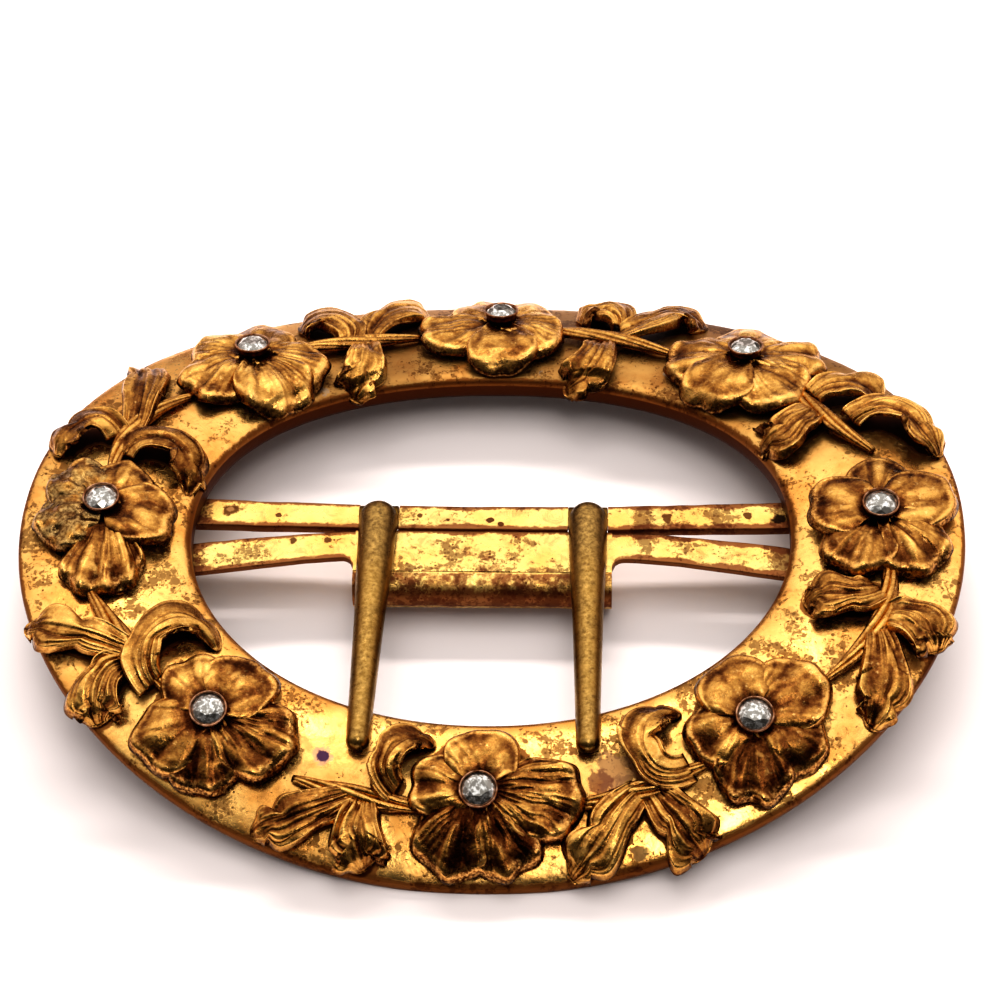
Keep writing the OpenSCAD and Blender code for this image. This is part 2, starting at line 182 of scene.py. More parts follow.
# Meshes
class Piece:
    """Collects points, faces and three numbers per point, and makes one object of them.

    The numbers steer the colours. relief is high on ridges. On the flowers it also carries painted shade on
    near petals that face the camera and painted light on the far flowers, on the prongs a painted highlight
    along the top, and on the band painted shade over the far side and a browner outer rim at the left end.
    edge is high where a piece is rubbed along its edges; it also paints shade, near-black on the band's
    underside, its lower inner wall and under the ornament, darker on the band's low outer wall, and dark on
    the prongs' lower flanks and underside. grime is high where a piece is dirty, and toward the prongs'
    heads, which it tones dark; on the roll it also paints a highlight strip and bands of shade.
    """

    def __init__(self):
        self.points, self.quads, self.tris, self.count = [], [], [], 0
        self.values = {"relief": [], "edge": [], "grime": []}

    def add(self, points, **values):
        points = np.asarray(points, float)
        shape = points.shape[:-1]
        points = points.reshape(-1, 3)
        first = self.count
        self.points.append(points)
        for name, held in self.values.items():
            held.append(np.broadcast_to(np.asarray(values.get(name, 0.0), float), shape).reshape(-1))
        self.count += len(points)
        return first

    def grid(self, points, around_u=False, around_v=False, flip=False, **values):
        """A sheet of quads over points[u, v]; returns the index of each point."""
        rows, columns = points.shape[:2]
        first = self.add(points, **values)
        index = first + np.arange(rows * columns).reshape(rows, columns)
        wide = index
        if around_u:
            wide = np.concatenate([wide, wide[:1]], 0)
        if around_v:
            wide = np.concatenate([wide, wide[:, :1]], 1)
        quads = np.stack([wide[:-1, :-1], wide[1:, :-1], wide[1:, 1:], wide[:-1, 1:]], -1).reshape(-1, 4)
        self.quads.append(quads[:, ::-1] if flip else quads)
        return index

    def cap(self, ring, flip=False, **values):
        """Closes a ring of point indexes with a fan round its middle."""
        points = np.concatenate(self.points)
        centre = self.add(points[ring].mean(0), **values)
        tris = np.stack([ring, np.roll(ring, -1), np.full(len(ring), centre)], -1)
        self.tris.append(tris[:, ::-1] if flip else tris)

    def shell(self, top, thick, **values):
        """A sheet with a top, an underside with half as many points each way, and a closed rim."""
        under = (top - sheet_normals(top) * thick)[::2, ::2]
        index = self.grid(top, **values)
        dull = {name: np.broadcast_to(value, top.shape[:2])[::2, ::2] * 0.4 for name, value in values.items()}
        below = self.grid(under, flip=True, **dull)
        self.rim(border(index), border(below))

    def rim(self, fine, coarse):
        """Joins the border of a fine grid to that of one with every second point of it."""
        tris = []
        for k, low in enumerate(coarse):
            a, b, c = fine[2 * k], fine[2 * k + 1], fine[(2 * k + 2) % len(fine)]
            tris += [(a, b, low), (b, c, low), (c, coarse[(k + 1) % len(coarse)], low)]
        self.tris.append(np.array(tris)[:, ::-1])

    def make(self, name, material, node, body="buckle", sharp=None):
        mesh = bpy.data.meshes.new(name)
        points = np.concatenate(self.points) * MM
        quads = np.concatenate(self.quads) if self.quads else np.zeros((0, 4), int)
        tris = np.concatenate(self.tris) if self.tris else np.zeros((0, 3), int)
        mesh.vertices.add(len(points))
        mesh.vertices.foreach_set("co", points.ravel())
        corners = np.concatenate([quads.ravel(), tris.ravel()]).astype(np.int32)
        starts = np.concatenate([np.arange(len(quads)) * 4, len(quads) * 4 + np.arange(len(tris)) * 3])
        mesh.loops.add(len(corners))
        mesh.loops.foreach_set("vertex_index", corners)
        mesh.polygons.add(len(starts))
        mesh.polygons.foreach_set("loop_start", starts.astype(np.int32))
        mesh.polygons.foreach_set("use_smooth", np.ones(len(starts), bool))
        mesh.update(calc_edges=True)
        mesh.validate()
        for key, held in self.values.items():
            layer = mesh.attributes.new(key, "FLOAT", "POINT")
            layer.data.foreach_set("value", np.concatenate(held).astype(np.float32))
        if sharp is not None:
            mesh.set_sharp_from_angle(angle=math.radians(sharp))
        mesh.materials.append(material)
        made = bpy.data.objects.new(name, mesh)
        bpy.context.scene.collection.objects.link(made)
        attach(made, body)
        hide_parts(node)


def sheet_normals(points):
    return unit(np.cross(np.gradient(points, axis=0), np.gradient(points, axis=1)))


def border(index):
    """The point indexes round the edge of a grid, in order."""
    return np.concatenate([index[:-1, 0], index[-1, :-1], index[:0:-1, -1], index[0, :0:-1]])


def turned(profile, steps):
    """A profile of [radius, height] rows turned round the z axis."""
    profile = np.array(profile, float)
    turn = circle(steps)[:, None]
    return np.stack([profile[:, 0] * np.cos(turn), profile[:, 0] * np.sin(turn),
                     np.broadcast_to(profile[:, 1], (steps, len(profile)))], -1)


def tube(piece, line, radius, sides, **values):
    """A round strand along a line of points, closed at both ends."""
    along = unit(np.gradient(line, axis=0))
    across = unit(np.cross(along, (0.0, 0.0, 1.0)))
    up = np.cross(across, along)
    turn = circle(sides)[None, :, None]
    ring = across[:, None] * np.cos(turn) + up[:, None] * np.sin(turn)
    points = line[:, None] + ring * np.asarray(radius).reshape(-1, 1, 1)
    index = piece.grid(points, around_v=True, flip=True, **values)
    piece.cap(index[0], flip=True)
    piece.cap(index[-1])


# Materials
class Shader:
    """One material's nodes, with short calls for the ones used here. A colour is a tuple of three numbers."""

    def __init__(self, name):
        self.material = bpy.data.materials.new(name)
        self.material.use_nodes = True
        self.tree = self.material.node_tree
        self.surface = self.tree.nodes["Principled BSDF"]
        self.place = self.node("ShaderNodeTexCoord").outputs["Object"]

    def node(self, kind, **settings):
        made = self.tree.nodes.new(kind)
        for key, value in settings.items():
            setattr(made, key, value)
        return made

    def link(self, value, socket):
        if isinstance(value, bpy.types.NodeSocket):
            self.tree.links.new(value, socket)
        else:
            socket.default_value = (*value, 1) if isinstance(value, tuple) else value

    def math(self, operation, a, b, clamp=False):
        made = self.node("ShaderNodeMath", operation=operation, use_clamp=clamp)
        self.link(a, made.inputs[0])
        self.link(b, made.inputs[1])
        return made.outputs[0]

    def times(self, a, b):
        return self.math("MULTIPLY", a, b)

    def plus(self, a, b):
        return self.math("ADD", a, b)

    def swing(self, value, amount):
        """How far a noise is from its middle, times an amount."""
        return self.times(self.math("SUBTRACT", value, 0.5), amount)

    def most(self, a, b):
        return self.math("MAXIMUM", a, b, clamp=True)

    def mix(self, share, a, b):
        made = self.node("ShaderNodeMix", data_type="RGBA")
        self.link(share, made.inputs[0])
        self.link(a, made.inputs[6])
        self.link(b, made.inputs[7])
        return made.outputs[2]

    def value(self, name):
        return self.node("ShaderNodeAttribute", attribute_name=name).outputs["Fac"]

    def ramp(self, share, *stops):
        made = self.node("ShaderNodeValToRGB")
        elements = made.color_ramp.elements
        while len(elements) < len(stops):
            elements.new(0.5)
        for element, (place, colour) in zip(elements, stops):
            element.position = place
            element.color = (*colour, 1) if isinstance(colour, tuple) else (colour, colour, colour, 1)
        self.link(share, made.inputs[0])
        return made.outputs[0]

    def noise(self, size, detail, rough=0.6, twist=0.0):
        """Noise with lumps about size millimetres across."""
        made = self.node("ShaderNodeTexNoise")
        self.link(self.place, made.inputs["Vector"])
        made.inputs["Scale"].default_value = 1 / (size * MM)
        made.inputs["Detail"].default_value = detail
        made.inputs["Roughness"].default_value = rough
        made.inputs["Distortion"].default_value = twist
        return made.outputs["Fac"]

    def step(self, value, low, high):
        made = self.node("ShaderNodeMapRange", interpolation_type="SMOOTHSTEP")
        self.link(value, made.inputs[0])
        made.inputs["From Min"].default_value = low
        made.inputs["From Max"].default_value = high
        return made.outputs[0]

    def bump(self, height, strength, distance, normal=None):
        made = self.node("ShaderNodeBump")
        self.link(height, made.inputs["Height"])
        made.inputs["Strength"].default_value = strength
        made.inputs["Distance"].default_value = distance * MM
        if normal is not None:
            self.link(normal, made.inputs["Normal"])
        return made.outputs["Normal"]

    def set(self, **sockets):
        for name, value in sockets.items():
            self.link(value, self.surface.inputs[name.replace("_", " ")])
        return self.material

    def mark(self, x, y, z, radius):
        """1 within a ragged round mark, 0 outside it."""
        away = self.node("ShaderNodeVectorMath", operation="DISTANCE")
        self.link(self.place, away.inputs[0])
        away.inputs[1].default_value = (x * MM, y * MM, z * MM)
        ragged = self.swing(self.noise(0.8, 3), 2.0 * radius * MM)
        return self.step(self.plus(away.outputs["Value"], ragged), 1.15 * radius * MM, 0.8 * radius * MM)

    def specks(self, size, amount, low, high):
        """Round spots of uneven size: 1 inside a spot, only where amount is high."""
        cells = self.node("ShaderNodeTexVoronoi")
        self.link(self.place, cells.inputs["Vector"])
        cells.inputs["Scale"].default_value = 1 / (size * MM)
        pick = self.node("ShaderNodeSeparateColor")
        self.link(cells.outputs["Color"], pick.inputs[0])
        radius = self.times(self.times(pick.outputs[0], amount), 0.62)
        return self.step(self.math("SUBTRACT", radius, cells.outputs["Distance"]), low, high)


GILT_SHINE = 0.22


def gilt(name, light, mid, brown, dark, marks, level):
    """Worn gilt brass: gold with brown specks, stains, and brown where the gilding has rubbed off, with
    painted shade: brown over the band's far side, and dark under the band and under the ornament.
    """
    s = Shader(name)
    broad, fine = s.noise(6.0, 4), s.noise(0.9, 5, 0.7)
    far_shade_left_rim, edge, grime = s.value("relief"), s.value("edge"), s.value("grime")
    colour = s.mix(s.step(broad, 0.40, 0.66), light, mid)
    # Painted shade: brown over the band's far side. The same value browns the outer rim at the band's left
    # end.
    colour = s.mix(far_shade_left_rim, colour, (0.27, 0.135, 0.045))
    # darkening turns the gilt brown where the gilding is gone along edges and where it is dirty, and also
    # where edge and grime paint shade.
    darkening = s.plus(s.times(edge, 1.1), s.swing(fine, 1.5))
    darkening = s.step(s.plus(darkening, s.times(grime, 0.75)), 0.62, 1.0)
    amount = s.plus(s.step(s.noise(4.5, 3), 0.42, 0.70), s.times(grime, 0.9))
    amount = s.times(s.plus(amount, s.times(far_shade_left_rim, 0.35)), 0.95)
    large = s.times(s.specks(1.1, amount, 0.03, 0.12), 0.8)
    small = s.specks(0.42, amount, 0.04, 0.16)
    freckle = s.plus(s.noise(0.55, 5, 0.72, 0.6), s.times(amount, 0.20))
    freckle = s.times(s.step(freckle, 0.645, 0.73), 0.75)
    spotted = s.most(s.most(large, small), freckle)
    colour = s.mix(s.times(darkening, 0.88), colour, brown)
    stain = s.step(s.noise(1.8, 5, 0.7, 0.8), 0.50, 0.68)
    colour = s.mix(s.times(stain, 0.35), colour, brown)
    colour = s.mix(s.times(spotted, 0.82), colour, dark)
    # Where edge is above 1.2 the colour goes dark: painted shade on the band's underside, its walls and under
    # the ornament; it darkens the faces of the bars too.
    colour = s.mix(s.step(edge, 1.2, 1.7), colour, dark)
    dirt = s.most(darkening, spotted)
    for x, y, radius, share, tint in marks:
        here = s.times(s.mark(x, y, level(y), radius), share)
        colour = s.mix(here, colour, tint)
        dirt = s.most(dirt, here)
    rough = s.ramp(dirt, (0.0, GILT_SHINE), (1.0, 0.55))
    rough = s.mix(s.step(s.noise(2.2, 4), 0.35, 0.75), rough, (GILT_SHINE + 0.16,) * 3)
    rough = s.mix(s.most(dirt, far_shade_left_rim), rough, (0.5,) * 3)
    height = s.math("SUBTRACT", s.times(fine, 0.5), s.times(dirt, 0.6))
    normal = s.bump(height, 0.55, 0.05)
    normal = s.bump(s.noise(3.6, 4, 0.55), 0.6, 0.16, normal)
    return s.set(Base_Color=colour, Metallic=1.0, Roughness=rough, Normal=normal)


def ornament_metal():
    """Stamped bronze-gold: brown in the recesses, rubbed bright on the ridges and rims, with painted glints,
    and the painted shade and light that relief carries on the petals.
    """
    s = Shader("ornament_bronze")
    relief, edge, grime = s.value("relief"), s.value("edge"), s.value("grime")
    broad, fine = s.noise(3.2, 4), s.noise(0.35, 5, 0.7)
    high = s.plus(s.times(relief, 0.75), s.swing(fine, 0.5))
    high = s.plus(s.plus(high, s.swing(s.noise(1.3, 5, 0.65, 0.4), 0.85)), 0.10)
    colour = s.ramp(high, (0.08, (0.042, 0.011, 0.003)), (0.28, (0.16, 0.056, 0.015)),
                    (0.50, (0.39, 0.182, 0.045)), (0.75, (0.69, 0.382, 0.105)), (1.0, (1.0, 0.66, 0.24)))
    bright_patches = s.step(s.plus(broad, s.times(relief, 0.28)), 0.70, 0.84)
    colour = s.mix(s.times(bright_patches, 0.65), colour, (0.92, 0.52, 0.15))
    # Painted highlight: small bright glints on the ridges.
    glints = s.times(s.step(s.noise(0.6, 5, 0.75), 0.58, 0.68), relief)
    colour = s.mix(s.times(glints, 0.9), colour, (1.0, 0.66, 0.25))
    stain = s.step(s.noise(1.6, 5, 0.65), 0.60, 0.74)
    colour = s.mix(s.times(stain, 0.55), colour, (0.16, 0.065, 0.02))
    colour = s.mix(s.times(edge, s.step(fine, 0.42, 0.62)), colour, (0.95, 0.52, 0.17))
    crust = s.mix(s.step(fine, 0.38, 0.60), (0.10, 0.055, 0.02), (0.46, 0.31, 0.13))
    colour = s.mix(s.times(grime, 0.75), colour, crust)
    rough = s.ramp(s.noise(0.8, 4), (0.3, 0.18), (0.7, 0.36))
    normal = s.bump(s.noise(1.1, 4, 0.6, 0.3), 0.6, 0.16)
    normal = s.bump(fine, 0.5, 0.045, normal)
    return s.set(Base_Color=colour, Metallic=1.0, Roughness=rough, Normal=normal)


def prong_metal():
    """Solid brass, rubbed smooth, with a painted highlight along the top and painted shade on its lower
    flanks and underside, and toned dark at the head.
    """
    s = Shader("prong_brass")
    relief, edge, grime = s.value("relief"), s.value("edge"), s.value("grime")
    fine = s.noise(0.35, 5, 0.7)
    colour = s.mix(s.step(s.noise(2.4, 4), 0.38, 0.68), (0.30, 0.168, 0.040), (0.155, 0.084, 0.020))
    colour = s.mix(s.times(grime, 0.75), colour, (0.12, 0.072, 0.028))
    # Painted highlight along the top of the prong, broken into patches by noise.
    bright_patches = s.ramp(s.noise(0.5, 5, 0.7), (0.38, 0.08), (0.66, 0.75))
    colour = s.mix(s.times(relief, bright_patches), colour, (0.72, 0.45, 0.15))
    # Painted shade: the lower flanks and flat underside go near-black, with a ragged line from noise.
    darkening = s.step(s.plus(edge, s.swing(fine, 1.2)), 0.45, 0.95)
    colour = s.mix(darkening, colour, (0.10, 0.045, 0.012))
    colour = s.mix(s.times(s.step(s.noise(0.7, 5), 0.56, 0.72), 0.7), colour, (0.15, 0.08, 0.025))
    rough = s.ramp(s.noise(0.6, 4), (0.3, 0.24), (0.7, 0.42))
    return s.set(Base_Color=colour, Metallic=1.0, Roughness=rough, Normal=s.bump(fine, 0.4, 0.035))


def cup_metal():
    """Copper-brown cups of the stones, with a pale rubbed rim."""
    s = Shader("setting_copper")
    colour = s.mix(s.step(s.noise(0.7, 4), 0.4, 0.65), (0.30, 0.115, 0.045), (0.12, 0.045, 0.018))
    bright_patches = s.times(s.value("edge"), s.step(s.noise(0.9, 2), 0.35, 0.75))
    colour = s.mix(bright_patches, colour, (0.70, 0.42, 0.27))
    normal = s.bump(s.noise(0.25, 4), 0.4, 0.03)
    return s.set(Base_Color=colour, Metallic=1.0, Roughness=0.34, Normal=normal)


def stone_glass():
    """Clear cut glass with a foiled back, with light and dark patches painted on as reflections in its
    facets.
    """
    s = Shader("stone_glass")
    # Painted reflections: light and dark patches of colour.
    colour = s.mix(s.step(s.noise(0.45, 2), 0.33, 0.56), (0.86, 0.84, 0.80), (0.24, 0.22, 0.19))
    return s.set(Base_Color=colour, Metallic=0.9, Roughness=0.07, IOR=1.55, Coat_Weight=1.0,
                 Coat_Roughness=0.03, Coat_IOR=1.55)


# Marks on the band: x, y, radius, strength and colour. Grey ones are solder and dirt by the ornament. The
# small dark brown one at (8.9, -26.0), beside the right prong's tip, is a painted reflection of the tip.
GREY = (0.36, 0.28, 0.21)
PURPLE = (0.055, 0.018, 0.085)
BAND_MARKS = (
    (-15.2, -26.9, 0.95, 0.55, (0.62, 0.33, 0.28)), (-15.2, -26.9, 0.62, 0.92, PURPLE),
    (12.8, -27.9, 1.9, 0.7, (0.36, 0.19, 0.10)), (11.4, -28.9, 1.2, 0.75, (0.20, 0.07, 0.04)),
    (8.9, -26.0, 0.5, 0.8, (0.24, 0.10, 0.03)), (15.3, -35.5, 0.8, 0.7, (0.12, 0.09, 0.05)),
    (-5.7, 23.4, 0.7, 0.7, GREY), (-3.2, 21.9, 0.5, 0.7, GREY), (-0.3, 21.3, 0.6, 0.7, GREY),
    (4.4, 23.7, 0.7, 0.6, GREY), (16.1, 27.4, 0.7, 0.7, GREY), (18.2, 23.0, 0.8, 0.7, GREY),
    (21.3, 20.6, 0.8, 0.7, GREY), (-18.8, 20.2, 1.0, 0.6, GREY),
)
# Round pits and spots on the crossbars, in the same way. The last two are on the plate.
PIT = (0.12, 0.035, 0.012)
BAR_MARKS = (
    (-0.2, 3.2, 0.36, 0.95, PIT), (0.9, 2.7, 0.32, 0.95, PIT), (-4.5, 3.2, 0.20, 0.9, PIT),
    (17.9, 3.6, 0.55, 0.9, PIT), (19.5, 2.5, 0.35, 0.9, PIT), (26.1, 4.0, 0.45, 0.9, PIT),
    (-22.0, 3.7, 0.30, 0.9, PIT), (-7.4, 3.8, 0.30, 0.9, PIT), (29.3, 3.6, 0.70, 0.95, (0.02, 0.01, 0.006)),
    (-27.0, 4.4, 0.75, 0.9, PIT), (-27.0, 4.5, 0.35, 0.9, (0.50, 0.26, 0.10)),
    (-20.2, 0.6, 0.40, 0.9, PIT), (-16.6, 0.6, 0.45, 0.9, PIT),
)
MARK_RISE = 1.2
PLATE_EDGE_Y = 2.0


def band_level(y):
    return arch(y) + MARK_RISE


def bar_level(y):
    return BAR_TOP if y > PLATE_EDGE_Y else PLATE_TOP


GOLD = gilt("band_gilt", (1.0, 0.59, 0.19), (0.82, 0.39, 0.10), (0.27, 0.092, 0.022), (0.085, 0.024, 0.007),
            BAND_MARKS, band_level)
PALE = gilt("crossbar_gilt", (1.0, 0.69, 0.24), (0.95, 0.56, 0.16), (0.26, 0.080, 0.032),
            (0.11, 0.028, 0.012), BAR_MARKS, bar_level)
BRONZE = ornament_metal()
BRASS = prong_metal()
COPPER = cup_metal()
GLASS = stone_glass()


# Flowers: the hub's place and five petals. A petal is its turn in degrees, reach, half width, lift of the
# rim, cup of the middle, count of flutes round the rim, their height, count of veins and their height.
PLAIN = (7.2, 3.6, 0.2, 0.3, 3, 0.15, 5, 0.06)
FLOWERS = {
    1: ((0.0, 30.16), (
        (51, *PLAIN), (123, *PLAIN), (193, 9.2, 4.1, 0.1, 0.2, 4, 0.22, 7, 0.11),
        (331, 7.6, 4.0, 0.1, 0.3, 3, 0.30, 6, 0.08), (271, 8.8, 3.9, 0.5, 0.3, 2, 0.10, 4, 0.05))),
    2: ((26.12, 23.17), (
        (86, *PLAIN), (4, 8.6, 3.9, 0.2, 0.3, 4, 0.25, 6, 0.08), (176, 8.8, 4.0, 0.1, 0.3, 4, 0.20, 6, 0.08),
        (297, 9.4, 4.3, 0.2, 0.2, 3, 0.35, 7, 0.10), (233, 9.0, 4.0, 0.6, 0.5, 2, 0.05, 3, 0.04))),
    3: ((39.0, 0.0), (
        (89, 8.0, 3.7, 0.2, 0.2, 3, 0.15, 7, 0.10), (309, 8.8, 4.0, 0.1, 0.2, 4, 0.25, 7, 0.11),
        (238, 8.4, 4.0, 0.2, 0.2, 4, 0.25, 7, 0.11), (19, 8.2, 3.9, 0.5, 0.4, 2, 0.10, 3, 0.04),
        (169, 7.6, 3.9, 0.5, 0.4, 2, 0.06, 3, 0.04))),
    4: ((26.12, -23.17), (
        (327, 7.9, 3.8, 0.1, 0.3, 3, 0.22, 5, 0.07), (203, *PLAIN),
        (268, 8.8, 4.0, 0.2, 0.1, 5, 0.40, 7, 0.10), (37, 8.4, 4.2, 0.4, 0.3, 3, 0.40, 4, 0.06),
        (122, 7.4, 3.9, 0.6, 0.5, 2, 0.06, 3, 0.04))),
    5: ((0.0, -30.16), (
        (241, 9.2, 4.1, 0.1, 0.2, 4, 0.30, 6, 0.09), (297, 9.2, 3.9, 0.0, 0.2, 4, 0.30, 6, 0.09),
        (179, 7.0, 3.6, 0.2, 0.3, 3, 0.20, 5, 0.06), (354, 10.4, 4.3, 0.3, 0.2, 4, 0.22, 9, 0.12),
        (84, 6.8, 3.8, 0.5, 0.4, 2, 0.15, 4, 0.05))),
    6: ((-26.12, -23.17), (
        (267, 8.4, 3.9, 0.1, 0.2, 4, 0.28, 6, 0.09), (216, 8.4, 3.9, 0.1, 0.3, 3, 0.22, 5, 0.07),
        (120, 6.8, 3.6, 0.3, 0.3, 3, 0.15, 4, 0.05), (328, 9.6, 4.3, 0.3, 0.2, 4, 0.22, 9, 0.13),
        (43, 7.6, 3.9, 0.6, 0.4, 2, 0.06, 3, 0.04))),
    7: ((-39.0, 0.0), (
        (278, 11.0, 4.3, 0.1, 0.1, 5, 0.32, 8, 0.12), (207, 7.4, 3.9, 0.2, 0.3, 3, 0.25, 5, 0.07),
        (133, 7.2, 3.7, 0.3, 0.3, 3, 0.20, 5, 0.06), (61, 6.6, 3.5, 0.2, 0.3, 3, 0.15, 5, 0.05),
        (347, 7.9, 4.0, 0.5, 0.4, 2, 0.10, 4, 0.05))),
    8: ((-26.12, 23.17), (
        (80, *PLAIN), (152, 7.4, 3.6, 0.2, 0.3, 3, 0.15, 5, 0.06),
        (225, 9.0, 4.3, 0.1, 0.2, 4, 0.28, 8, 0.13), (345, 8.6, 4.0, 0.2, 0.3, 3, 0.22, 6, 0.09),
        (302, 9.7, 4.3, 0.5, 0.3, 5, 0.30, 8, 0.10))),
}
# Petals with a grey-brown crust, as (flower, place in its row)
CRUSTED = ((7, 1), (7, 2))
CRUST = 0.95

# Sprigs: the stem as three points from one flower to the next, and three leaves. A leaf is its middle line
# as four points, half width, where along it is widest, lobes a side, flutes, and how hollow the near side is.
SPRIGS = {
    1: (((-9.6, 28.9), (-14.8, 27.4), (-20.8, 26.4)), (
        (((-16.1, 27.1), (-16.5, 29.5), (-18.8, 31.0), (-22.0, 30.6)), 2.9, 0.60, 1, 4, 0.25),
        (((-14.3, 28.5), (-12.8, 31.7), (-10.7, 33.6), (-7.8, 34.0)), 2.9, 0.60, 1, 4, 0.2),
        (((-14.4, 26.7), (-14.2, 23.4), (-14.6, 21.2), (-15.5, 19.4)), 2.8, 0.66, 2, 4, 0.3))),
    2: (((18.2, 26.0), (10.7, 28.7), (5.9, 30.2)), (
        (((13.2, 31.0), (12.4, 33.2), (10.6, 33.9), (8.4, 33.2)), 2.8, 0.55, 1, 4, 0.2),
        (((12.8, 29.5), (16.1, 31.0), (19.0, 32.6), (22.0, 31.6)), 2.9, 0.60, 1, 4, 0.25),
        (((10.9, 27.6), (10.3, 24.6), (9.0, 22.4), (6.8, 21.6)), 2.9, 0.60, 2, 4, 0.35))),
    3: (((38.1, 10.0), (33.1, 15.2), (30.5, 19.4)), (
        (((33.1, 14.9), (31.1, 12.7), (29.3, 11.5), (27.2, 11.2)), 3.0, 0.60, 2, 5, 0.3),
        (((32.9, 17.4), (35.0, 18.4), (37.7, 18.6), (40.1, 17.3)), 2.8, 0.60, 1, 3, 0.4),
        (((36.6, 13.6), (40.7, 14.2), (43.6, 11.7), (45.6, 8.8)), 2.6, 0.55, 2, 4, 1.0))),
    4: (((39.5, -4.9), (38.9, -11.7), (35.0, -17.4)), (
        (((38.6, -9.1), (35.6, -10.2), (33.2, -10.0), (31.2, -10.4)), 3.2, 0.60, 2, 5, 0.4),
        (((39.1, -12.2), (41.3, -12.8), (42.9, -14.0), (43.8, -15.8)), 3.3, 0.60, 2, 6, 0.4),
        (((38.2, -13.7), (38.7, -17.8), (38.4, -20.8), (37.1, -23.8)), 2.8, 0.56, 2, 5, 0.2))),
    5: (((21.4, -27.5), (16.2, -29.8), (10.7, -31.2)), (
        (((20.0, -27.8), (15.9, -27.3), (15.6, -24.2), (19.2, -22.4)), 2.4, 0.55, 2, 3, 1.0),
        (((15.3, -30.1), (12.6, -33.1), (10.8, -35.4), (8.7, -37.8)), 2.9, 0.52, 2, 5, 0.2),
        (((16.7, -30.1), (18.5, -32.4), (20.1, -34.2), (21.4, -35.6)), 3.4, 0.68, 2, 8, 0.3))),
    6: (((-5.1, -31.7), (-9.9, -31.2), (-16.0, -29.8)), (
        (((-7.8, -30.3), (-9.0, -27.8), (-7.8, -25.9), (-4.4, -25.8)), 2.1, 0.55, 2, 3, 1.0),
        (((-12.1, -30.8), (-15.2, -32.1), (-18.6, -33.2), (-21.8, -34.2)), 2.6, 0.58, 2, 5, 0.3),
        (((-11.2, -31.1), (-11.4, -33.6), (-11.3, -35.4), (-10.7, -37.2)), 3.1, 0.62, 2, 6, 0.3))),
    7: (((-30.5, -20.8), (-34.0, -17.1), (-38.3, -11.5)), (
        (((-34.7, -16.7), (-38.2, -15.7), (-41.9, -14.7), (-45.4, -14.0)), 2.8, 0.58, 2, 5, 0.3),
        (((-32.0, -20.6), (-33.0, -16.5), (-30.0, -13.6), (-26.1, -16.0)), 2.5, 0.55, 2, 3, 1.0),
        (((-34.9, -18.0), (-37.0, -20.4), (-37.3, -22.4), (-37.0, -24.2)), 3.1, 0.62, 2, 6, 0.3))),
    8: (((-38.8, 5.2), (-38.1, 9.8), (-33.9, 16.0)), (
        (((-37.4, 11.1), (-37.0, 13.8), (-37.0, 17.1), (-37.6, 22.4)), 2.7, 0.68, 1, 5, 0.2),
        (((-38.6, 10.4), (-41.2, 11.6), (-43.4, 10.2), (-44.9, 7.8)), 2.4, 0.55, 2, 2, 1.0),
        (((-38.0, 7.6), (-35.0, 9.2), (-32.0, 7.9), (-31.2, 3.6)), 2.4, 0.55, 2, 2, 1.0))),
}


# Band
# Places on the band that are dirtier or rougher than the rest: x, y, radius and amount
GRIME = (
    (-32.6, -8.5, 4.0, 0.4), (33.5, -6.0, 3.5, 0.6), (34.0, -17.5, 2.5, 0.8), (0.0, -37.5, 4.0, 0.7),
    (14.0, -36.8, 4.0, 0.6), (12.6, -25.6, 2.4, 0.9), (-31.4, 1.0, 1.6, 0.6), (22.0, -36.0, 3.0, 0.6),
    (-20.0, -35.0, 3.5, 0.6), (9.0, 27.5, 3.0, 0.5), (-16.0, 26.0, 3.0, 0.5), (44.0, -9.0, 3.0, 0.5),
    (-44.5, -8.0, 3.0, 0.5),
)
BAND_STATIONS = 640
BAND_STEPS = 2.2
BAND_WIDTH = 16.0


def loop_points(table, steps):
    """A closed table of [share, height] rows as a smooth, evenly spaced loop."""
    table = np.array(table, float)
    scaled = table * (BAND_WIDTH, 1.0)
    back, ahead = np.roll(table, 1, 0), np.roll(table, -1, 0)
    lengths = np.linalg.norm(np.roll(scaled, -1, 0) - scaled, axis=1)
    points = []
    for k in range(len(table)):
        after = (k + 1) % len(table)
        a, b, length = table[k], table[after], lengths[k]
        slope_a = (b - back[k]) * length / (lengths[k - 1] + length)
        slope_b = (ahead[after] - a) * length / (length + lengths[after])
        count = max(2, int(round(length * steps)))
        for q in np.arange(count) / count:
            h = (2 * q**3 - 3 * q**2 + 1, q**3 - 2 * q**2 + q, -2 * q**3 + 3 * q**2, q**3 - q**2)
            points.append(h[0] * a + h[1] * slope_a * 0.8 + h[2] * b + h[3] * slope_b * 0.8)
    return np.array(points)


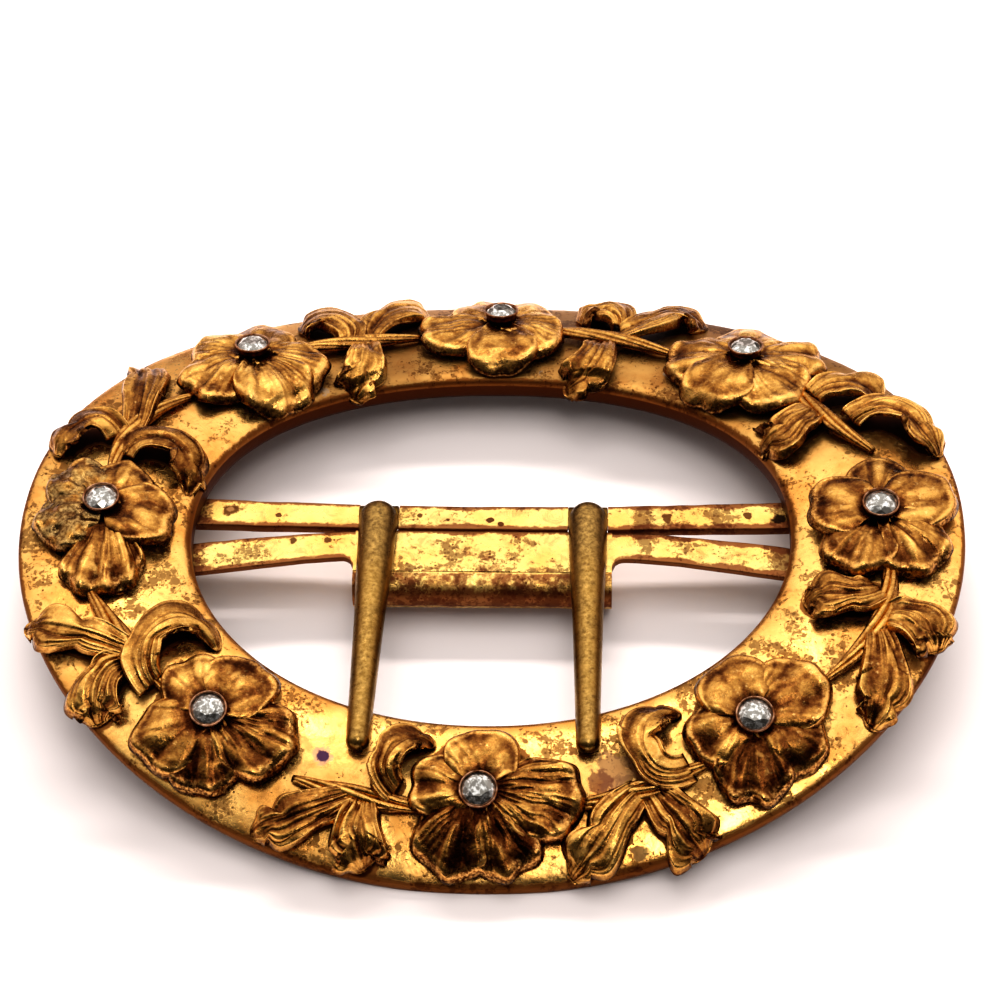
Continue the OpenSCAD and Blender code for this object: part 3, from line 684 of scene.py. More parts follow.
def build_band():
    section = loop_points(SECTION_LOOP, BAND_STEPS)
    t = circle(BAND_STATIONS)
    outer, opening = oval(*OUTER, t), oval(*OPENING, t)
    share, height = section[:, 0], section[:, 1]
    plan = outer[:, None] + share[None, :, None] * (opening - outer)[:, None]
    x, y = plan[..., 0], plan[..., 1]
    z = arch(y) + height[None]
    flat = with_height(plan, 0.0)
    dent = 0.10 * noise(flat, 7.0, 3) + 0.035 * noise(flat, 2.2, 4)
    top = smooth(height, 0.3, 0.9)[None]
    z = np.maximum(0.0, z + (dent - 0.08) * top)

    hubs = [(*hub, 1.0, 1.0) for hub, _ in FLOWERS.values()]
    leaves = [leaf for _, three in SPRIGS.values() for leaf in three]
    # Painted shade: the band is near-black under the ornament. Beside it there are more specks, where
    # polishing never reached.
    beneath = [(*at, half, 1.0) for path, half, *_ in leaves
               for at in through(path, np.linspace(0.1, 0.78, 8))]
    beneath = np.maximum(spots(x, y, hubs, 5.2, 6.3), spots(x, y, beneath, 0.45, 0.75))
    beside = [(*at, 1.0, 1.0) for path, *_ in leaves for at in path]
    beside = np.maximum(spots(x, y, hubs, 8.0, 11.0), spots(x, y, beside, 2.0, 4.4))

    across = np.clip(share, 0, 1)
    rim = np.maximum(1 - smooth(across, 0.0, 0.045), smooth(across, 0.94, 1.0))
    # Painted shade: the band's underside and the lower part of its inner wall go near-black, and its low
    # outer wall darker.
    under = (np.arange(len(share)) >= np.argmax(share >= 0.999)) & ((height < -0.9) | (share < 0.999))
    wall = (share < 0.01) & (height < 0.95)
    edge = np.where(under, 2.0, np.where(wall, 1.42, rim))
    edge = np.maximum(edge[None], 1.8 * beneath * top)
    grime = spots(x, y, GRIME, 0.35, 1.25, stretch=1 + 0.45 * noise(flat, 1.6, 9))
    grime = np.maximum(grime, 0.25 * beside)
    # Painted shade: the far side of the band is turned browner. The outer rim at the band's left end is
    # browner too.
    far_shade_left_rim = 0.85 * smooth(y, 4.0, 20.0) * (1 - 0.8 * smooth(-x, 17.0, 29.0))
    far_shade_left_rim = far_shade_left_rim * (0.8 + 0.3 * noise(flat, 5.0, 12))
    left_rim = 0.30 * smooth(-x, 36.0, 44.0) * (1 - smooth(across, 0.05, 0.32))[None]
    far_shade_left_rim = np.maximum(far_shade_left_rim, left_rim * (0.8 + 0.3 * noise(flat, 3.0, 13)))
    piece = Piece()
    piece.grid(with_height(plan, z), around_u=True, around_v=True, relief=far_shade_left_rim, edge=edge, grime=grime)
    piece.make("band", GOLD, "frame")


# Flowers
PETAL_GRID = (37, 73)
PETAL_START = 1.0
PETAL_RISE = (1.95, 1.00)
PETAL_THICK = 0.44
PETAL_SPREAD = math.radians(62)
# Section of the hub, as radius and height over the arch
HUB = ((0.92, 1.2), (0.92, 2.9), (1.05, 3.08), (1.5, 3.05), (1.95, 2.75), (2.25, 2.25), (2.4, 1.6),
       (2.4, 1.2))


def flower_frame(centre, local):
    """Points of a flower's own frame, placed on the band: its z axis leans with the arch."""
    x, y = centre
    tilt = math.atan(arch_slope(y))
    lx, ly, lz = local[..., 0], local[..., 1], local[..., 2]
    return np.stack([x + lx, y + ly * math.cos(tilt) - lz * math.sin(tilt),
                     arch(y) + ly * math.sin(tilt) + lz * math.cos(tilt)], -1)


def over_band(centre, plan, height):
    """Points at a height over the band's top, measured along the flower's axis."""
    x, y = centre
    tilt = math.atan(arch_slope(y))
    wx, wy = x + plan[..., 0], y + plan[..., 1] * math.cos(tilt)
    return np.stack([wx, wy - height * math.sin(tilt), band_top(wx, wy) + height * math.cos(tilt)], -1)


def petal(piece, centre, spec, raised, seed, crust):
    turn, reach, half, lift, cup, flutes, flute, veins, vein = spec
    rows, columns = PETAL_GRID
    middle = reach - half
    spread = min(math.asin(min(1.0, half / middle)) if middle > half else PETAL_SPREAD, PETAL_SPREAD)
    v = np.linspace(-1, 1, columns)
    ray = v * spread
    edge_r = middle * np.cos(ray) + np.sqrt(np.maximum(0, half**2 - (middle * np.sin(ray)) ** 2))
    wave = np.cos(flutes * math.pi * v + seed * 1.7)
    notch = 1 - 0.045 * np.exp(-((v / 0.12) ** 2))
    edge_r = edge_r * (1 + 0.022 * wave + 0.012 * np.cos(11 * v + seed)) * notch
    u = np.linspace(0, 1, rows)[:, None] ** 0.85
    radius = PETAL_START + (edge_r[None] - PETAL_START) * u
    angle = math.radians(turn) + ray[None] + 0.05 * np.sin(3 * u + seed)
    plan = np.stack([radius * np.cos(angle), radius * np.sin(angle)], -1)
    flat = with_height(plan, seed * 7.3)

    swirl = 0.10 * noise(flat, 2.2, seed)
    lines = streaks(v[None] + swirl, u, 0.55 * veins, 0.9, seed)
    finer = streaks(v[None] - swirl, u, 1.5 * veins, 1.6, seed + 4)
    patch = smooth(noise(flat, 2.6, seed + 8), -0.5, 0.5)
    vein_line = lines * smooth(u, 0.03, 0.3) * (0.45 + 0.55 * patch) + 0.70 * finer * smooth(u, 0.1, 0.5)
    vein_line = vein_line * (1 - smooth(u, 0.86, 0.98))
    rim, skirt = smooth(u, 0.82, 0.93) - 0.7 * smooth(u, 0.95, 1.0), smooth(u, 0.94, 1.0)
    lump = noise(flat, 1.5, seed + 3)
    height = PETAL_RISE[0] + (PETAL_RISE[1] - PETAL_RISE[0]) * u**1.7 + (lift + raised) * u**1.5
    height = height + cup * 4 * u * (1 - u) + flute * u**2 * wave[None] + 2.2 * vein * (vein_line - 0.5)
    height = height + 0.11 * rim + crust * 0.22 * noise(flat, 0.7, 9)
    height = height + (0.10 * lump + 0.24 * noise(flat, 3.0, seed + 6)) * smooth(u, 0.1, 0.6)
    height = height - 0.35 * np.abs(v[None]) ** 3 * smooth(u, 0.1, 0.9) - 0.55 * skirt
    top = over_band(centre, plan, np.maximum(height, 0.5))

    groove = np.exp(-((u - 0.79) / 0.07) ** 2)
    # Painted shade: petals that point at the camera on the near side are darker. Painted light: the far
    # flowers are lighter.
    camera_facing_shade = 0.32 * max(0.0, -math.sin(math.radians(turn))) * smooth(-centre[1], -5.0, 15.0)
    relief = 0.44 - camera_facing_shade + 0.15 * smooth(centre[1], 4.0, 20.0) + 0.42 * (vein_line - 0.6) + 0.14 * lump
    relief = relief + 0.34 * rim - 0.20 * groove + 0.20 * wave[None] * u**2
    relief = relief - 0.30 * (1 - smooth(u, 0.10, 0.34)) - 0.5 * skirt
    piece.shell(top, PETAL_THICK, relief=np.clip(relief, 0, 1), edge=rim * 0.8,
                grime=crust * smooth(noise(flat, 0.9, seed + 2), -0.6, 0.2))


def build_flower(number):
    centre, petals = FLOWERS[number]
    piece = Piece()
    for order, spec in enumerate(petals):
        crust = CRUST if (number, order) in CRUSTED else 0.0
        petal(piece, centre, spec, 0.16 * order, number * 11 + order * 5, crust)
    local = turned(HUB, 48)
    local[..., :2] *= (1 + 0.03 * np.cos(5 * circle(48)))[:, None, None]
    piece.grid(flower_frame(centre, local), around_u=True, around_v=True, relief=0.25)
    piece.make(f"blossom_{number}", BRONZE, f"flower_{number}")


# Settings and stones: the section of a setting, as radius and height over the arch
CUP = ((0.0, -0.25), (1.3, -0.25), (1.3, 0.0), (0.8, 0.25), (0.8, 3.0), (1.3, 3.16), (1.5, 3.22), (1.62, 3.6),
       (1.72, 4.0), (1.80, 4.06), (1.86, 4.14), (1.87, 4.22), (1.85, 4.29), (1.80, 4.335), (1.74, 4.335),
       (1.68, 4.29), (1.655, 4.20), (1.65, 3.95), (0.9, 3.35), (0.0, 3.3))


def build_setting(number):
    local = turned(CUP, 56)
    height = local[..., 2]
    wobble = 0.02 * noise(local * (1, 1, 0.5) + number * 9, 0.9, number) * smooth(height, 2.8, 3.4)
    local[..., :2] += wobble[..., None]
    edge = smooth(height, 4.05, 4.2) * smooth(np.hypot(local[..., 0], local[..., 1]), 1.55, 1.7)
    piece = Piece()
    piece.grid(flower_frame(FLOWERS[number][0], local), around_u=True, edge=edge)
    piece.make(f"cup_{number}", COPPER, f"setting_{number}")


def build_stone(number):
    """A small brilliant with an eight-sided table, star, kite and girdle facets, and a plain pavilion."""
    sides = 8
    half = math.pi / sides

    def ring(radius, height, offset):
        angle = number * 0.37 + np.arange(sides) * TAU / sides + offset
        return np.stack([radius * np.cos(angle), radius * np.sin(angle), np.full(sides, height)], -1)

    girdle = np.empty((2 * sides, 3))
    girdle[0::2], girdle[1::2] = ring(1.62, 4.12, 0.0), ring(1.62, 4.12, half)
    local = np.concatenate([ring(0.84, 4.60, 0.0), ring(1.20, 4.43, half), girdle, girdle - (0, 0, 0.10),
                            [(0.0, 0.0, 3.42)]])
    piece = Piece()
    piece.add(flower_frame(FLOWERS[number][0], local))
    table, star, upper, lower, tip = 0, sides, 2 * sides, 4 * sides, 6 * sides
    tris = []
    for k in range(sides):
        after, here = (k + 1) % sides, star + k
        g0, g1, g2 = upper + 2 * k, upper + 2 * k + 1, upper + (2 * k + 2) % (2 * sides)
        tris += [(table + k, here, table + after), (table + k, g0, here), (here, g2, table + after),
                 (here, g0, g1), (here, g1, g2)]
    tris += [(table, table + k, table + k + 1) for k in range(1, sides - 1)]
    for k in range(2 * sides):
        after = (k + 1) % (2 * sides)
        tris += [(upper + k, lower + k, upper + after), (lower + k, lower + after, upper + after),
                 (lower + k, tip, lower + after)]
    piece.tris.append(np.array(tris))
    piece.make(f"brilliant_{number}", GLASS, f"stone_{number}", sharp=1)


# Sprigs
LEAF_GRID = (81, 57)
LEAF_THICK = 0.42
STEM_ROWS = 40
STRANDS = 5


def raise_over_band(plan, height):
    """Points at a height over the band's top, measured square to the arch."""
    x, y = plan[..., 0], plan[..., 1]
    slope = arch_slope(y)
    size = np.sqrt(1 + slope**2)
    return np.stack([x, y - height * slope / size, band_top(x, y) + height / size], -1)


def leaf(piece, spec, seed):
    path, half, wide, lobes, flutes, hollow = spec
    rows, columns = LEAF_GRID
    u, v = np.linspace(0.0, 1.0, rows)[:, None], np.linspace(-1, 1, columns)[None]
    out = np.abs(v)
    line = through(path, u[:, 0])
    along, side = directions(line)
    near = np.clip(-v * side[:, 1:], 0, 1)
    blunt = np.sqrt(np.maximum(0, 1 - np.clip((u - wide) / (1 - wide), 0, 1) ** 2.3))
    foot = 0.44 + 0.18 * hollow
    pointed = 1 - 0.19 * lobes * smooth(u, 0.62, 0.98)
    width = half * (foot + (1 - foot) * smooth(u, -0.05, wide)) * blunt * pointed + 0.05
    grow = smooth(u, 0.15, 0.50)
    phase = np.where(v < 0, (seed * 0.37 + 0.2) % 1, (seed * 0.71 + 0.6) % 1)
    lobe = np.abs(np.sin(math.pi * (lobes * u**1.2 + phase)))
    notched = grow * (1 - smooth(u, 0.80, 0.97))
    reach = (1 - 0.46 * notched * (1 - lobe) ** 1.8) * width
    reach = reach * (1 - 0.30 * hollow * near * np.sin(math.pi * u))
    forward = 0.50 * out**1.5 * (width * blunt * notched)
    plan = line[:, None] + side[:, None] * (v * reach)[..., None] + along[:, None] * forward[..., None]
    flat = with_height(plan, seed * 3.1)

    fan = v * (1 - 0.25 * u) + 0.10 * noise(flat, 2.4, seed)
    ridge = streaks(fan, u, 0.42 * flutes, 0.9, seed)
    fine = streaks(fan, u, 1.25 * flutes, 1.8, seed + 2)
    crease = np.exp(-((v / 0.07) ** 2)) * (1 - smooth(u, 0.55, 0.85))
    rim = smooth(out, 0.74, 0.86) * (1 - 0.8 * smooth(out, 0.88, 1.0))
    lump = noise(flat, 1.5, seed + 5)
    rise = np.sin(math.pi * u**0.9)
    calm_tip = smooth(blunt, 0.15, 0.75)
    # The rim turns down to the band, but stands open on the near side of a hollow leaf.
    skirt = smooth(out, 0.84, 1.0) * (1 - np.where(near > 0, min(1.0, hollow), 0.0))
    skirt = np.maximum(skirt, smooth(u, 0.93, 1.0) * (1 - 0.6 * hollow))
    near_drop, far_drop = 0.90 - 1.00 * hollow, 0.60 + 0.45 * hollow
    height = 0.95 + (1.0 + 0.6 * hollow) * rise**0.8 - 0.5 * smooth(u, 0.80, 1.0)
    height = height - out**2.2 * grow * np.where(near > 0, near_drop * near, far_drop)
    height = height + (0.24 * (ridge - 0.5) + 0.17 * (fine - 0.5)) * calm_tip - 0.14 * crease + 0.08 * rim
    height = height + 0.30 * (lobe - 0.5) * out**1.2 * notched + 0.10 * lump * calm_tip
    top = raise_over_band(plan, np.maximum(height - 0.75 * skirt, 0.32))
    relief = 0.12 + 0.32 * ridge + 0.36 * fine + 0.10 * lump + 0.22 * rim - 0.22 * crease
    relief = relief + 0.20 * (lobe - 0.6) * out + 0.10 * (rise - 0.5) - 0.4 * skirt
    piece.shell(top, LEAF_THICK, relief=np.clip(relief, 0, 1), edge=0.5 * rim)


def build_sprig(number):
    """Three leaves, and a stem of twisted strands that tapers to both ends."""
    stem, leaves = SPRIGS[number]
    piece = Piece()
    for order, spec in enumerate(leaves):
        leaf(piece, spec, number * 7 + order * 3)
    s = np.linspace(0, 1, STEM_ROWS)
    plan = through(stem, -0.08 + 1.26 * s)
    _, side = directions(plan)
    length = np.linalg.norm(np.diff(plan, axis=0), axis=1).sum()
    swell = np.sin(math.pi * s)
    for strand in range(STRANDS):
        twist = s * length * 0.22 + TAU * strand / STRANDS
        aside = (0.20 + 0.48 * swell) * np.cos(twist)
        height = 0.30 + 0.62 * swell**0.7 + 0.20 * np.sin(twist)
        line = raise_over_band(plan + side * aside[:, None], height)
        tube(piece, line, 0.18 + 0.24 * swell, 10, relief=0.42 + 0.30 * np.sin(twist)[:, None], edge=0.15)
    piece.make(f"leaves_{number}", BRONZE, f"sprig_{number}")


# Crossbars
PRONG_X = (-11.6, 9.8)
EYE = (3.65, 5.525)
NOTCH_HALF = 2.04
NECK_R = 0.65
BAR_HALF = 38.1
BAR_THICK = 1.1
BAR_LOOP_COUNT = 44
POST_X = 36.5
# Browner stretches of both bars: x, 0, reach and amount
BROWN_STRETCHES = ((-30.2, 0, 2.0, 1.1), (30.4, 0, 3.6, 1.0), (24.5, 0, 3.0, 0.6), (19.0, 0, 2.0, 0.6),
          (-3.0, 0, 2.5, 0.6), (15.5, 0, 1.5, 0.6))


def bar_loop(far, near, top, thick, corner):
    """Section of a flat bar as a loop of [y, z], from the far top edge round to the far bottom edge."""
    low = top - thick
    arc = np.linspace(0, math.pi / 2, 5)[1:-1]
    half = [(far - corner + (near - far + 2 * corner) * q, top) for q in np.linspace(0, 1, 14)]
    half += [(near + corner - corner * math.sin(a), top - corner + corner * math.cos(a)) for a in arc]
    half += [(near, top - corner), (near, low + corner)]
    half += [(near + corner - corner * math.cos(a), low + corner - corner * math.sin(a)) for a in arc]
    # The other half is this one turned about the middle of the section.
    return np.concatenate([half, (far + near, top + low) - np.array(half)])


def bar_edge(loop, far, near):
    """1 at the long edges of a bar's section, 0 a millimetre in, and more on its far and near faces."""
    inset = np.minimum(far - loop[:, 0], loop[:, 0] - near)
    return 1 - smooth(inset, 0.15, 1.10) + 0.42 * (1 - smooth(inset, 0.0, 0.12))


def neck_loop():
    """The round neck that a prong turns on, with as many points as bar_loop gives."""
    turn = math.radians(45) + circle(BAR_LOOP_COUNT)
    return np.stack([EYE[0] - NECK_R * np.sin(turn), EYE[1] + NECK_R * np.cos(turn)], -1)


def along_x(xs, loop):
    """The same section at each x."""
    return np.array([np.column_stack([np.full(len(loop), x), loop]) for x in xs])


def loft(piece, stations):
    """Joins sections given as x, loop, edge and grime, and closes both ends."""
    points = np.concatenate([along_x([x], loop) for x, loop, _, _ in stations])
    edge, grime = (np.array([np.broadcast_to(row[k], points.shape[1]) for row in stations]) for k in (2, 3))
    points[..., 2] += 0.05 * noise(points, 6.0, 21) + 0.02 * noise(points, 1.8, 22)
    index = piece.grid(points, around_v=True, edge=edge, grime=grime)
    piece.cap(index[0], edge=0.8)
    piece.cap(index[-1], flip=True, edge=0.8)


def add_posts(piece, y, foot_heights):
    """Round posts at both ends of a bar that meet the band, and pins that pass into it."""
    pin_heights = arch(y) + np.array([-0.4, 0.6, 1.0, 1.2])
    for x in (-POST_X, POST_X):
        for heights, radii, sides in ((foot_heights, (1.1, 1.1, 1.1, 1.05, 0.7), 20),
                                      (pin_heights, (0.7, 0.7, 0.66, 0.4), 16)):
            tube(piece, np.array([(x, y, z) for z in heights]), radii, sides, edge=0.5)


def build_rear_bar():
    piece = Piece()
    walls = sorted(x + side * NOTCH_HALF for x in PRONG_X for side in (-1, 1))
    stations = []

    def plate(x):
        far, near = 5.15 + 0.78 * (x / 29) ** 2, 1.99 + 0.41 * (x / 29) ** 2
        jitter = 0.05 * noise(np.array([x, 0.0, 3.0]), 1.6, 5)
        loop = bar_loop(far + jitter, near + jitter * 0.6, BAR_TOP, BAR_THICK, 0.22)
        return x, loop, bar_edge(loop, far, near), spots(x, 0.0, BROWN_STRETCHES, 0.3, 1.0)

    def neck(x):
        return x, neck_loop(), 0.6, 0.0

    for x in np.round(np.linspace(-BAR_HALF, BAR_HALF, 220), 3):
        while walls and x > walls[0]:
            wall = walls.pop(0)
            entering = len(walls) % 2 == 1
            stations += [plate(wall), neck(wall)] if entering else [neck(wall), plate(wall)]
        in_notch = any(abs(x - middle) < NOTCH_HALF for middle in PRONG_X)
        stations.append(neck(x) if in_notch else plate(x))
    loft(piece, stations)
    add_posts(piece, 4.2, (5.4, 6.5, 7.6, 8.6, 8.75))
    piece.make("rear_crossbar", PALE, "rear_bar", sharp=50)


PLATE_X = (-13.9, 12.3)
PLATE_THICK = 0.7
PLATE_FAR = 0.25
# The roll under the plate's near edge: y and z of its middle, radius, and turn in degrees
ROLL = (-3.4, 3.2, 2.2)
ROLL_TURN = 250
# The arms on both sides of the plate: distance from the middle, far y and near y
ARM = ((11.0, 1.82, -1.55), (14.8, 1.82, -1.65), (19.0, 1.55, -2.05), (24.0, 0.98, -2.85),
       (29.0, 0.28, -3.70), (33.0, -0.42, -4.35), (36.5, -1.20, -4.60), (38.2, -2.2, -3.6))
FILLET = 1.3
# Brown patches on the plate between the prongs: x, y, radius and amount
PLATE_PATCHES = ((-0.4, -1.4, 2.0, 1.1), (2.2, -1.5, 1.4, 1.0), (-2.4, -1.0, 1.4, 1.0), (2.8, 1.0, 1.2, 0.9),
                 (4.2, 0.5, 1.0, 0.9), (6.4, -1.8, 0.9, 1.0), (-5.0, 0.4, 1.0, 0.9), (-5.5, -4.0, 3.6, 1.0),
                 (0.0, -3.9, 4.2, 1.1), (5.5, -4.0, 3.6, 1.0), (-8.5, -3.2, 1.6, 0.8), (-11.5, 0.8, 1.4, 0.5))


def arm_edges(x):
    table = np.array(ARM)
    far, near = (np.interp(abs(x), table[:, 0], table[:, k]) for k in (1, 2))
    for corner, outward in zip(PLATE_X, (-1, 1)):
        away = (x - corner) * outward
        if 0 <= away < FILLET:
            near = near - FILLET + math.sqrt(max(0.0, FILLET**2 - (FILLET - away) ** 2))
    return far, near


def add_roll(piece):
    """The near edge of the plate, rolled under, with its cut ends closed."""
    middle, radius = ROLL[:2], ROLL[2]
    turn = np.radians(90 + np.linspace(-6, ROLL_TURN, 60))
    arc = np.stack([np.cos(turn), np.sin(turn)], -1)
    loop = np.concatenate([middle + radius * arc, (middle + (radius - PLATE_THICK) * arc)[::-1]])
    points = along_x(np.linspace(*PLATE_X, 90), loop)
    degrees = np.degrees(turn)
    start = smooth(np.concatenate([degrees, degrees[::-1]]), 92, 120)
    dent = 0.06 * noise(points, 3.0, 31) + 0.03 * noise(points, 1.0, 32)
    points[..., 1:] += dent[..., None] * unit(loop - middle)[None] * start[None, :, None]
    # By turn round the roll: the grainy brown band over the top is wear. The darker band on the front is
    # painted shade, the brighter strip just below it (192 to 202 degrees) is a painted highlight, and the
    # dark from 210 degrees round the bottom and on the inside is painted shade.
    rough = 0.74 * smooth(degrees, 85, 95) + 0.20 * smooth(degrees, 132, 150)
    rough = rough - 0.5 * smooth(degrees, 192, 202) + 0.6 * smooth(degrees, 210, 220)
    rough = np.concatenate([rough, np.ones(len(turn))])
    grime = rough * (0.75 + 0.30 * noise(points, 1.6, 33))
    index = piece.grid(points, around_v=True, grime=grime, edge=0.58 * rough)
    for row, flip in ((index[0], False), (index[-1], True)):
        a, b = row[:len(turn)], row[len(turn):][::-1]
        quads = np.stack([a[:-1], a[1:], b[1:], b[:-1]], -1)
        piece.quads.append(quads[:, ::-1] if flip else quads)


def build_bridge():
    piece = Piece()

    def section(x, on_plate):
        far, near = arm_edges(x)
        if on_plate:
            far, near = far + PLATE_FAR, ROLL[0]
        jitter = 0.05 * noise(np.array([x, 9.0, 3.0]), 1.6, 6)
        loop = bar_loop(far + jitter, near, PLATE_TOP, PLATE_THICK, 0.16)
        patches = spots(x, loop[:, 0], PLATE_PATCHES, 0.3, 1.0, squash=1.3)
        # The plate has no near edge: it goes on into the roll.
        edge = bar_edge(loop, far, near - (3.0 if on_plate else 0.0))
        return x, loop, edge, np.maximum(spots(x, 0.0, BROWN_STRETCHES, 0.3, 1.0), patches)

    stations = [section(x, False) for x in np.linspace(-BAR_HALF, PLATE_X[0], 70)]
    stations += [section(x, True) for x in np.linspace(*PLATE_X, 60)]
    stations += [section(x, False) for x in np.linspace(PLATE_X[1], BAR_HALF, 70)]
    loft(piece, stations)
    add_roll(piece)
    add_posts(piece, -2.9, (4.9, 6.0, 7.2, 8.6, 8.75))
    piece.make("bridge", PALE, "bridge_plate", sharp=50)


# Prongs: y and z of the middle of the head and of the tip, and their radius
PRONG_HEAD = (2.87, 6.1, 2.0)
PRONG_TIP = (-25.8, 7.05, 1.15)
PRONG_FLAT = 0.4
PRONG_ROWS = 110
PRONG_SIDES = 40
EYE_R = 1.35
EYE_BORE = 0.72
EYE_HALF = 1.2
LOOP_HALF = 2.015
LOOP_R = 1.24
# Each prong's x at the head and at the tip
PRONGS = (("left", PRONG_X[0], -11.8), ("right", PRONG_X[1], 10.25))


def build_prong(name, head_x, tip_x):
    """A tapered tongue with a flat underside and round ends, and the eye and side loops below its head."""
    piece = Piece()
    head, tip = np.array([head_x, *PRONG_HEAD[:2]]), np.array([tip_x, *PRONG_TIP[:2]])
    r0, r1 = PRONG_HEAD[2], PRONG_TIP[2]
    length = np.linalg.norm(tip - head)
    rows = [(-r0 * math.cos(a), r0 * math.sin(a)) for a in np.linspace(0.02, math.pi / 2, 14)]
    for q in np.linspace(0, 1, PRONG_ROWS)[1:-1]:
        swell = 0.06 * math.sin(math.pi * min(1.0, q * 2.2)) - 0.05 * math.sin(math.pi * q)
        rows.append((q * length, r0 + (r1 - r0) * q**0.92 + swell))
    rows += [(length + r1 * math.cos(a), r1 * math.sin(a)) for a in np.linspace(math.pi / 2, 0.03, 12)]
    along, radius = (column[:, None] for column in np.array(rows).T)
    axis = (tip - head) / length
    across = unit(np.cross(axis, (0, 0, 1.0)))
    up = np.cross(across, axis)
    turn = circle(PRONG_SIDES)
    low = -PRONG_FLAT * np.minimum(1.0, radius / r1)
    flat = np.sin(turn) * radius < low
    x, z = np.cos(turn) * radius, np.maximum(np.sin(turn) * radius, low)
    points = head + (axis * along)[:, None] + across * x[..., None] + up * z[..., None]
    points[..., 2] += 0.03 * noise(points, 2.5, 41) * smooth(points[..., 2], head[2], head[2] + 1)
    index = piece.grid(points, around_v=True, flip=True, grime=1 - smooth(along, 2.0, 9.0),
                       relief=np.where(flat, 0.0, np.maximum(0, np.sin(turn)) ** 3),
                       edge=np.where(flat, 1.0, 1 - smooth(np.sin(turn), -0.28, 0.28)))
    piece.cap(index[0], flip=True, edge=0.6)
    piece.cap(index[-1], edge=0.3)

    side = np.array([(LOOP_HALF, EYE_BORE), (LOOP_HALF, LOOP_R - 0.1), (LOOP_HALF - 0.1, LOOP_R),
                     (EYE_HALF + 0.05, LOOP_R), (EYE_HALF, EYE_R - 0.1), (EYE_HALF - 0.1, EYE_R)])
    # Turned round the z axis as x, y, z, and then laid along x
    ring = turned(np.concatenate([side, side[::-1] * (-1, 1)])[:, ::-1], PRONG_SIDES)
    eye = ring[..., [2, 0, 1]] + (head_x, *EYE)
    piece.grid(eye, around_u=True, around_v=True, flip=True, edge=0.5)
    piece.make(f"prong_{name}_brass", BRASS, f"prong_{name}", f"{name}_prong", sharp=60)


build_band()
for number in FLOWERS:
    build_flower(number)
    build_setting(number)
    build_stone(number)
    build_sprig(number)
build_rear_bar()
build_bridge()
for prong in PRONGS:
    build_prong(*prong)


# Floor
FLOOR_HALF = 0.9


def build_floor():
    corners = [(x * FLOOR_HALF, y * FLOOR_HALF, 0) for x, y in ((-1, -1), (1, -1), (1, 1), (-1, 1))]
    mesh = bpy.data.meshes.new("floor")
    mesh.from_pydata(corners, [], [(0, 1, 2, 3)])
    paper = Shader("floor_paper").set(Base_Color=(0.60, 0.545, 0.53), Roughness=0.9, Specular_IOR_Level=0.1)
    mesh.materials.append(paper)
    made = bpy.data.objects.new("floor", mesh)
    bpy.context.scene.collection.objects.link(made)


# Light, in metres
WORLD_STRENGTH = 0.85
# The sky's brightness from straight down to straight up
WORLD_STOPS = ((0.0, 0.03), (0.15, 0.28), (0.33, 0.78), (0.50, 1.05), (0.70, 1.30), (1.0, 1.38))
# How the sky falls off toward the camera's side: from y, to y, share there, share here
WORLD_FRONT = (-0.54, 0.22, 0.05, 1.0)


def build_world():
    world = bpy.data.worlds.new("studio")
    bpy.context.scene.world = world
    world.use_nodes = True
    nodes, links = world.node_tree.nodes, world.node_tree.links
    split = nodes.new("ShaderNodeSeparateXYZ")
    links.new(nodes.new("ShaderNodeTexCoord").outputs["Generated"], split.inputs[0])
    ramp = nodes.new("ShaderNodeValToRGB")
    elements = ramp.color_ramp.elements
    while len(elements) < len(WORLD_STOPS):
        elements.new(0.5)
    for element, (position, level) in zip(elements, WORLD_STOPS):
        height = min(1, position * 1.6)
        element.position = position
        element.color = (level, level * (0.72 + 0.27 * height), level * (0.62 + 0.36 * height), 1)
    links.new(split.outputs["Z"], ramp.inputs[0])
    front = nodes.new("ShaderNodeMapRange")
    front.interpolation_type = "SMOOTHSTEP"
    for socket, level in zip(front.inputs[1:5], WORLD_FRONT):
        socket.default_value = level
    links.new(split.outputs["Y"], front.inputs[0])
    shade = nodes.new("ShaderNodeVectorMath")
    shade.operation = "SCALE"
    links.new(ramp.outputs[0], shade.inputs[0])
    links.new(front.outputs[0], shade.inputs["Scale"])
    links.new(shade.outputs[0], nodes["Background"].inputs["Color"])
    nodes["Background"].inputs["Strength"].default_value = WORLD_STRENGTH


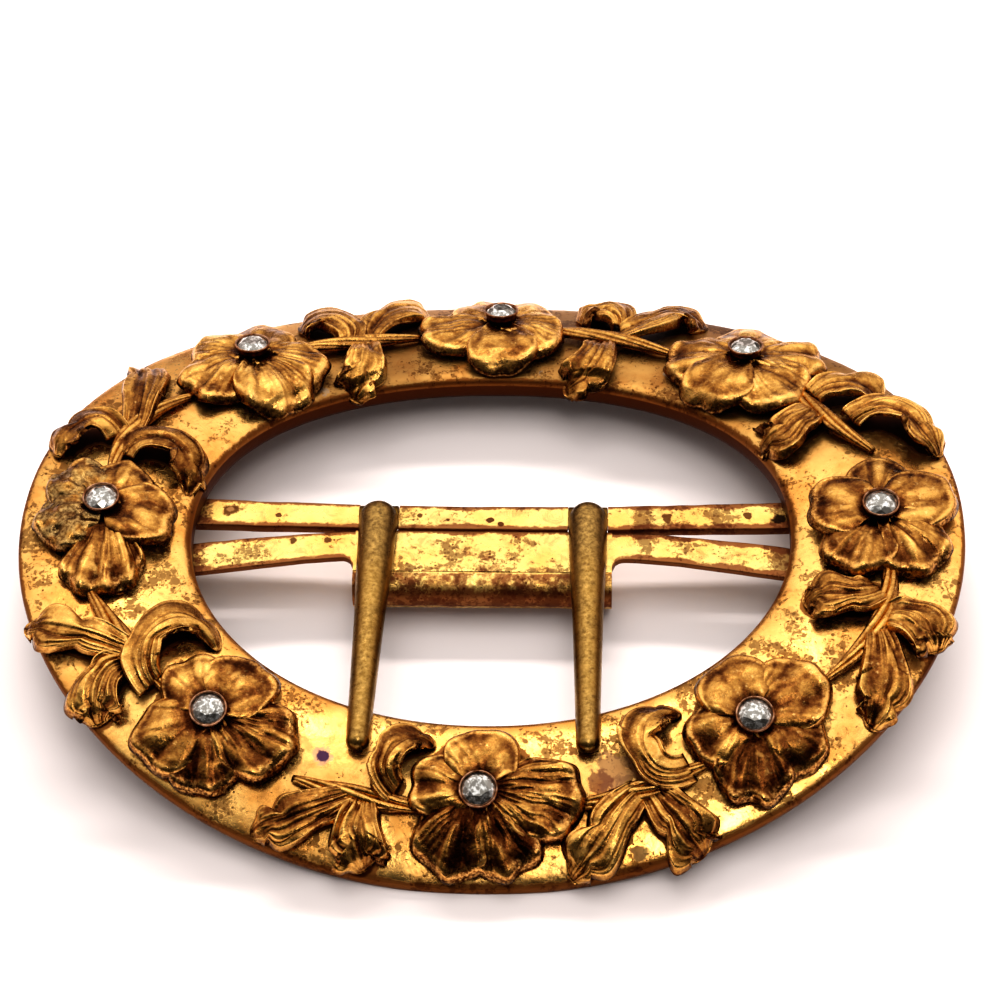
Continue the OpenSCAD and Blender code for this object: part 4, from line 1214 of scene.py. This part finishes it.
def area_light(name, place, size, power, colour=(1, 1, 1), in_gloss=True, tall=None):
    """A round lamp aimed at the buckle, or a strip when tall is given.

    Without in_gloss it makes no glare on metal.
    """
    light = bpy.data.lights.new(name, "AREA")
    light.shape = "DISK" if tall is None else "RECTANGLE"
    light.size = size
    if tall is not None:
        light.size_y = tall
    light.energy = power
    light.color = colour
    made = bpy.data.objects.new(name, light)
    made.location = place
    made.visible_glossy = in_gloss
    made.rotation_euler = (Vector((0, 0, 0.005)) - Vector(place)).to_track_quat("-Z", "Y").to_euler()
    bpy.context.scene.collection.objects.link(made)


# Camera, fitted to the photograph's outlines: distances in millimetres, angles in degrees
CAMERA_ELEVATION = 48.935
CAMERA_AZIMUTH = 3.871
CAMERA_ROLL = -2.507
CAMERA_DISTANCE = 320.0
CAMERA_TARGET = (0.374, 10.991, 0.0)
CAMERA_LENS = 109.313


def build_camera():
    e, a, roll = (math.radians(v) for v in (CAMERA_ELEVATION, CAMERA_AZIMUTH, CAMERA_ROLL))
    forward = Vector((-math.sin(a) * math.cos(e), math.cos(a) * math.cos(e), -math.sin(e)))
    right = forward.cross(Vector((0, 0, 1))).normalized()
    up = right.cross(forward)
    rolled_right = right * math.cos(roll) + up * math.sin(roll)
    rolled_up = up * math.cos(roll) - right * math.sin(roll)
    eye = (Vector(CAMERA_TARGET) - forward * CAMERA_DISTANCE) * MM
    data = bpy.data.cameras.new("camera")
    data.lens = CAMERA_LENS
    data.sensor_width = 36
    data.sensor_fit = "HORIZONTAL"
    data.clip_start = 0.01
    made = bpy.data.objects.new("camera", data)
    turn = Matrix((rolled_right, rolled_up, -forward)).transposed()
    made.matrix_world = Matrix.Translation(eye) @ turn.to_4x4()
    bpy.context.scene.collection.objects.link(made)
    bpy.context.scene.camera = made


build_floor()
build_world()
area_light("window", (0.0, 0.56, 0.475), 1.0, 8.3, (1.0, 0.97, 0.95), in_gloss=False, tall=0.07)
area_light("ceiling", (0.0, -0.05, 0.95), 1.2, 3.6, in_gloss=False)
area_light("front", (0.0, -0.62, 0.24), 0.50, 1.4, (1.0, 0.94, 0.92), in_gloss=False)
area_light("glint", (-0.10, 0.30, 0.80), 0.16, 0.25)
area_light("fill", (0.12, -0.34, 0.86), 0.30, 0.9, (1.0, 0.98, 0.95))
build_camera()
view = bpy.context.scene.view_settings
view.view_transform = "Standard"
view.look = "High Contrast"
view.exposure = 0.0
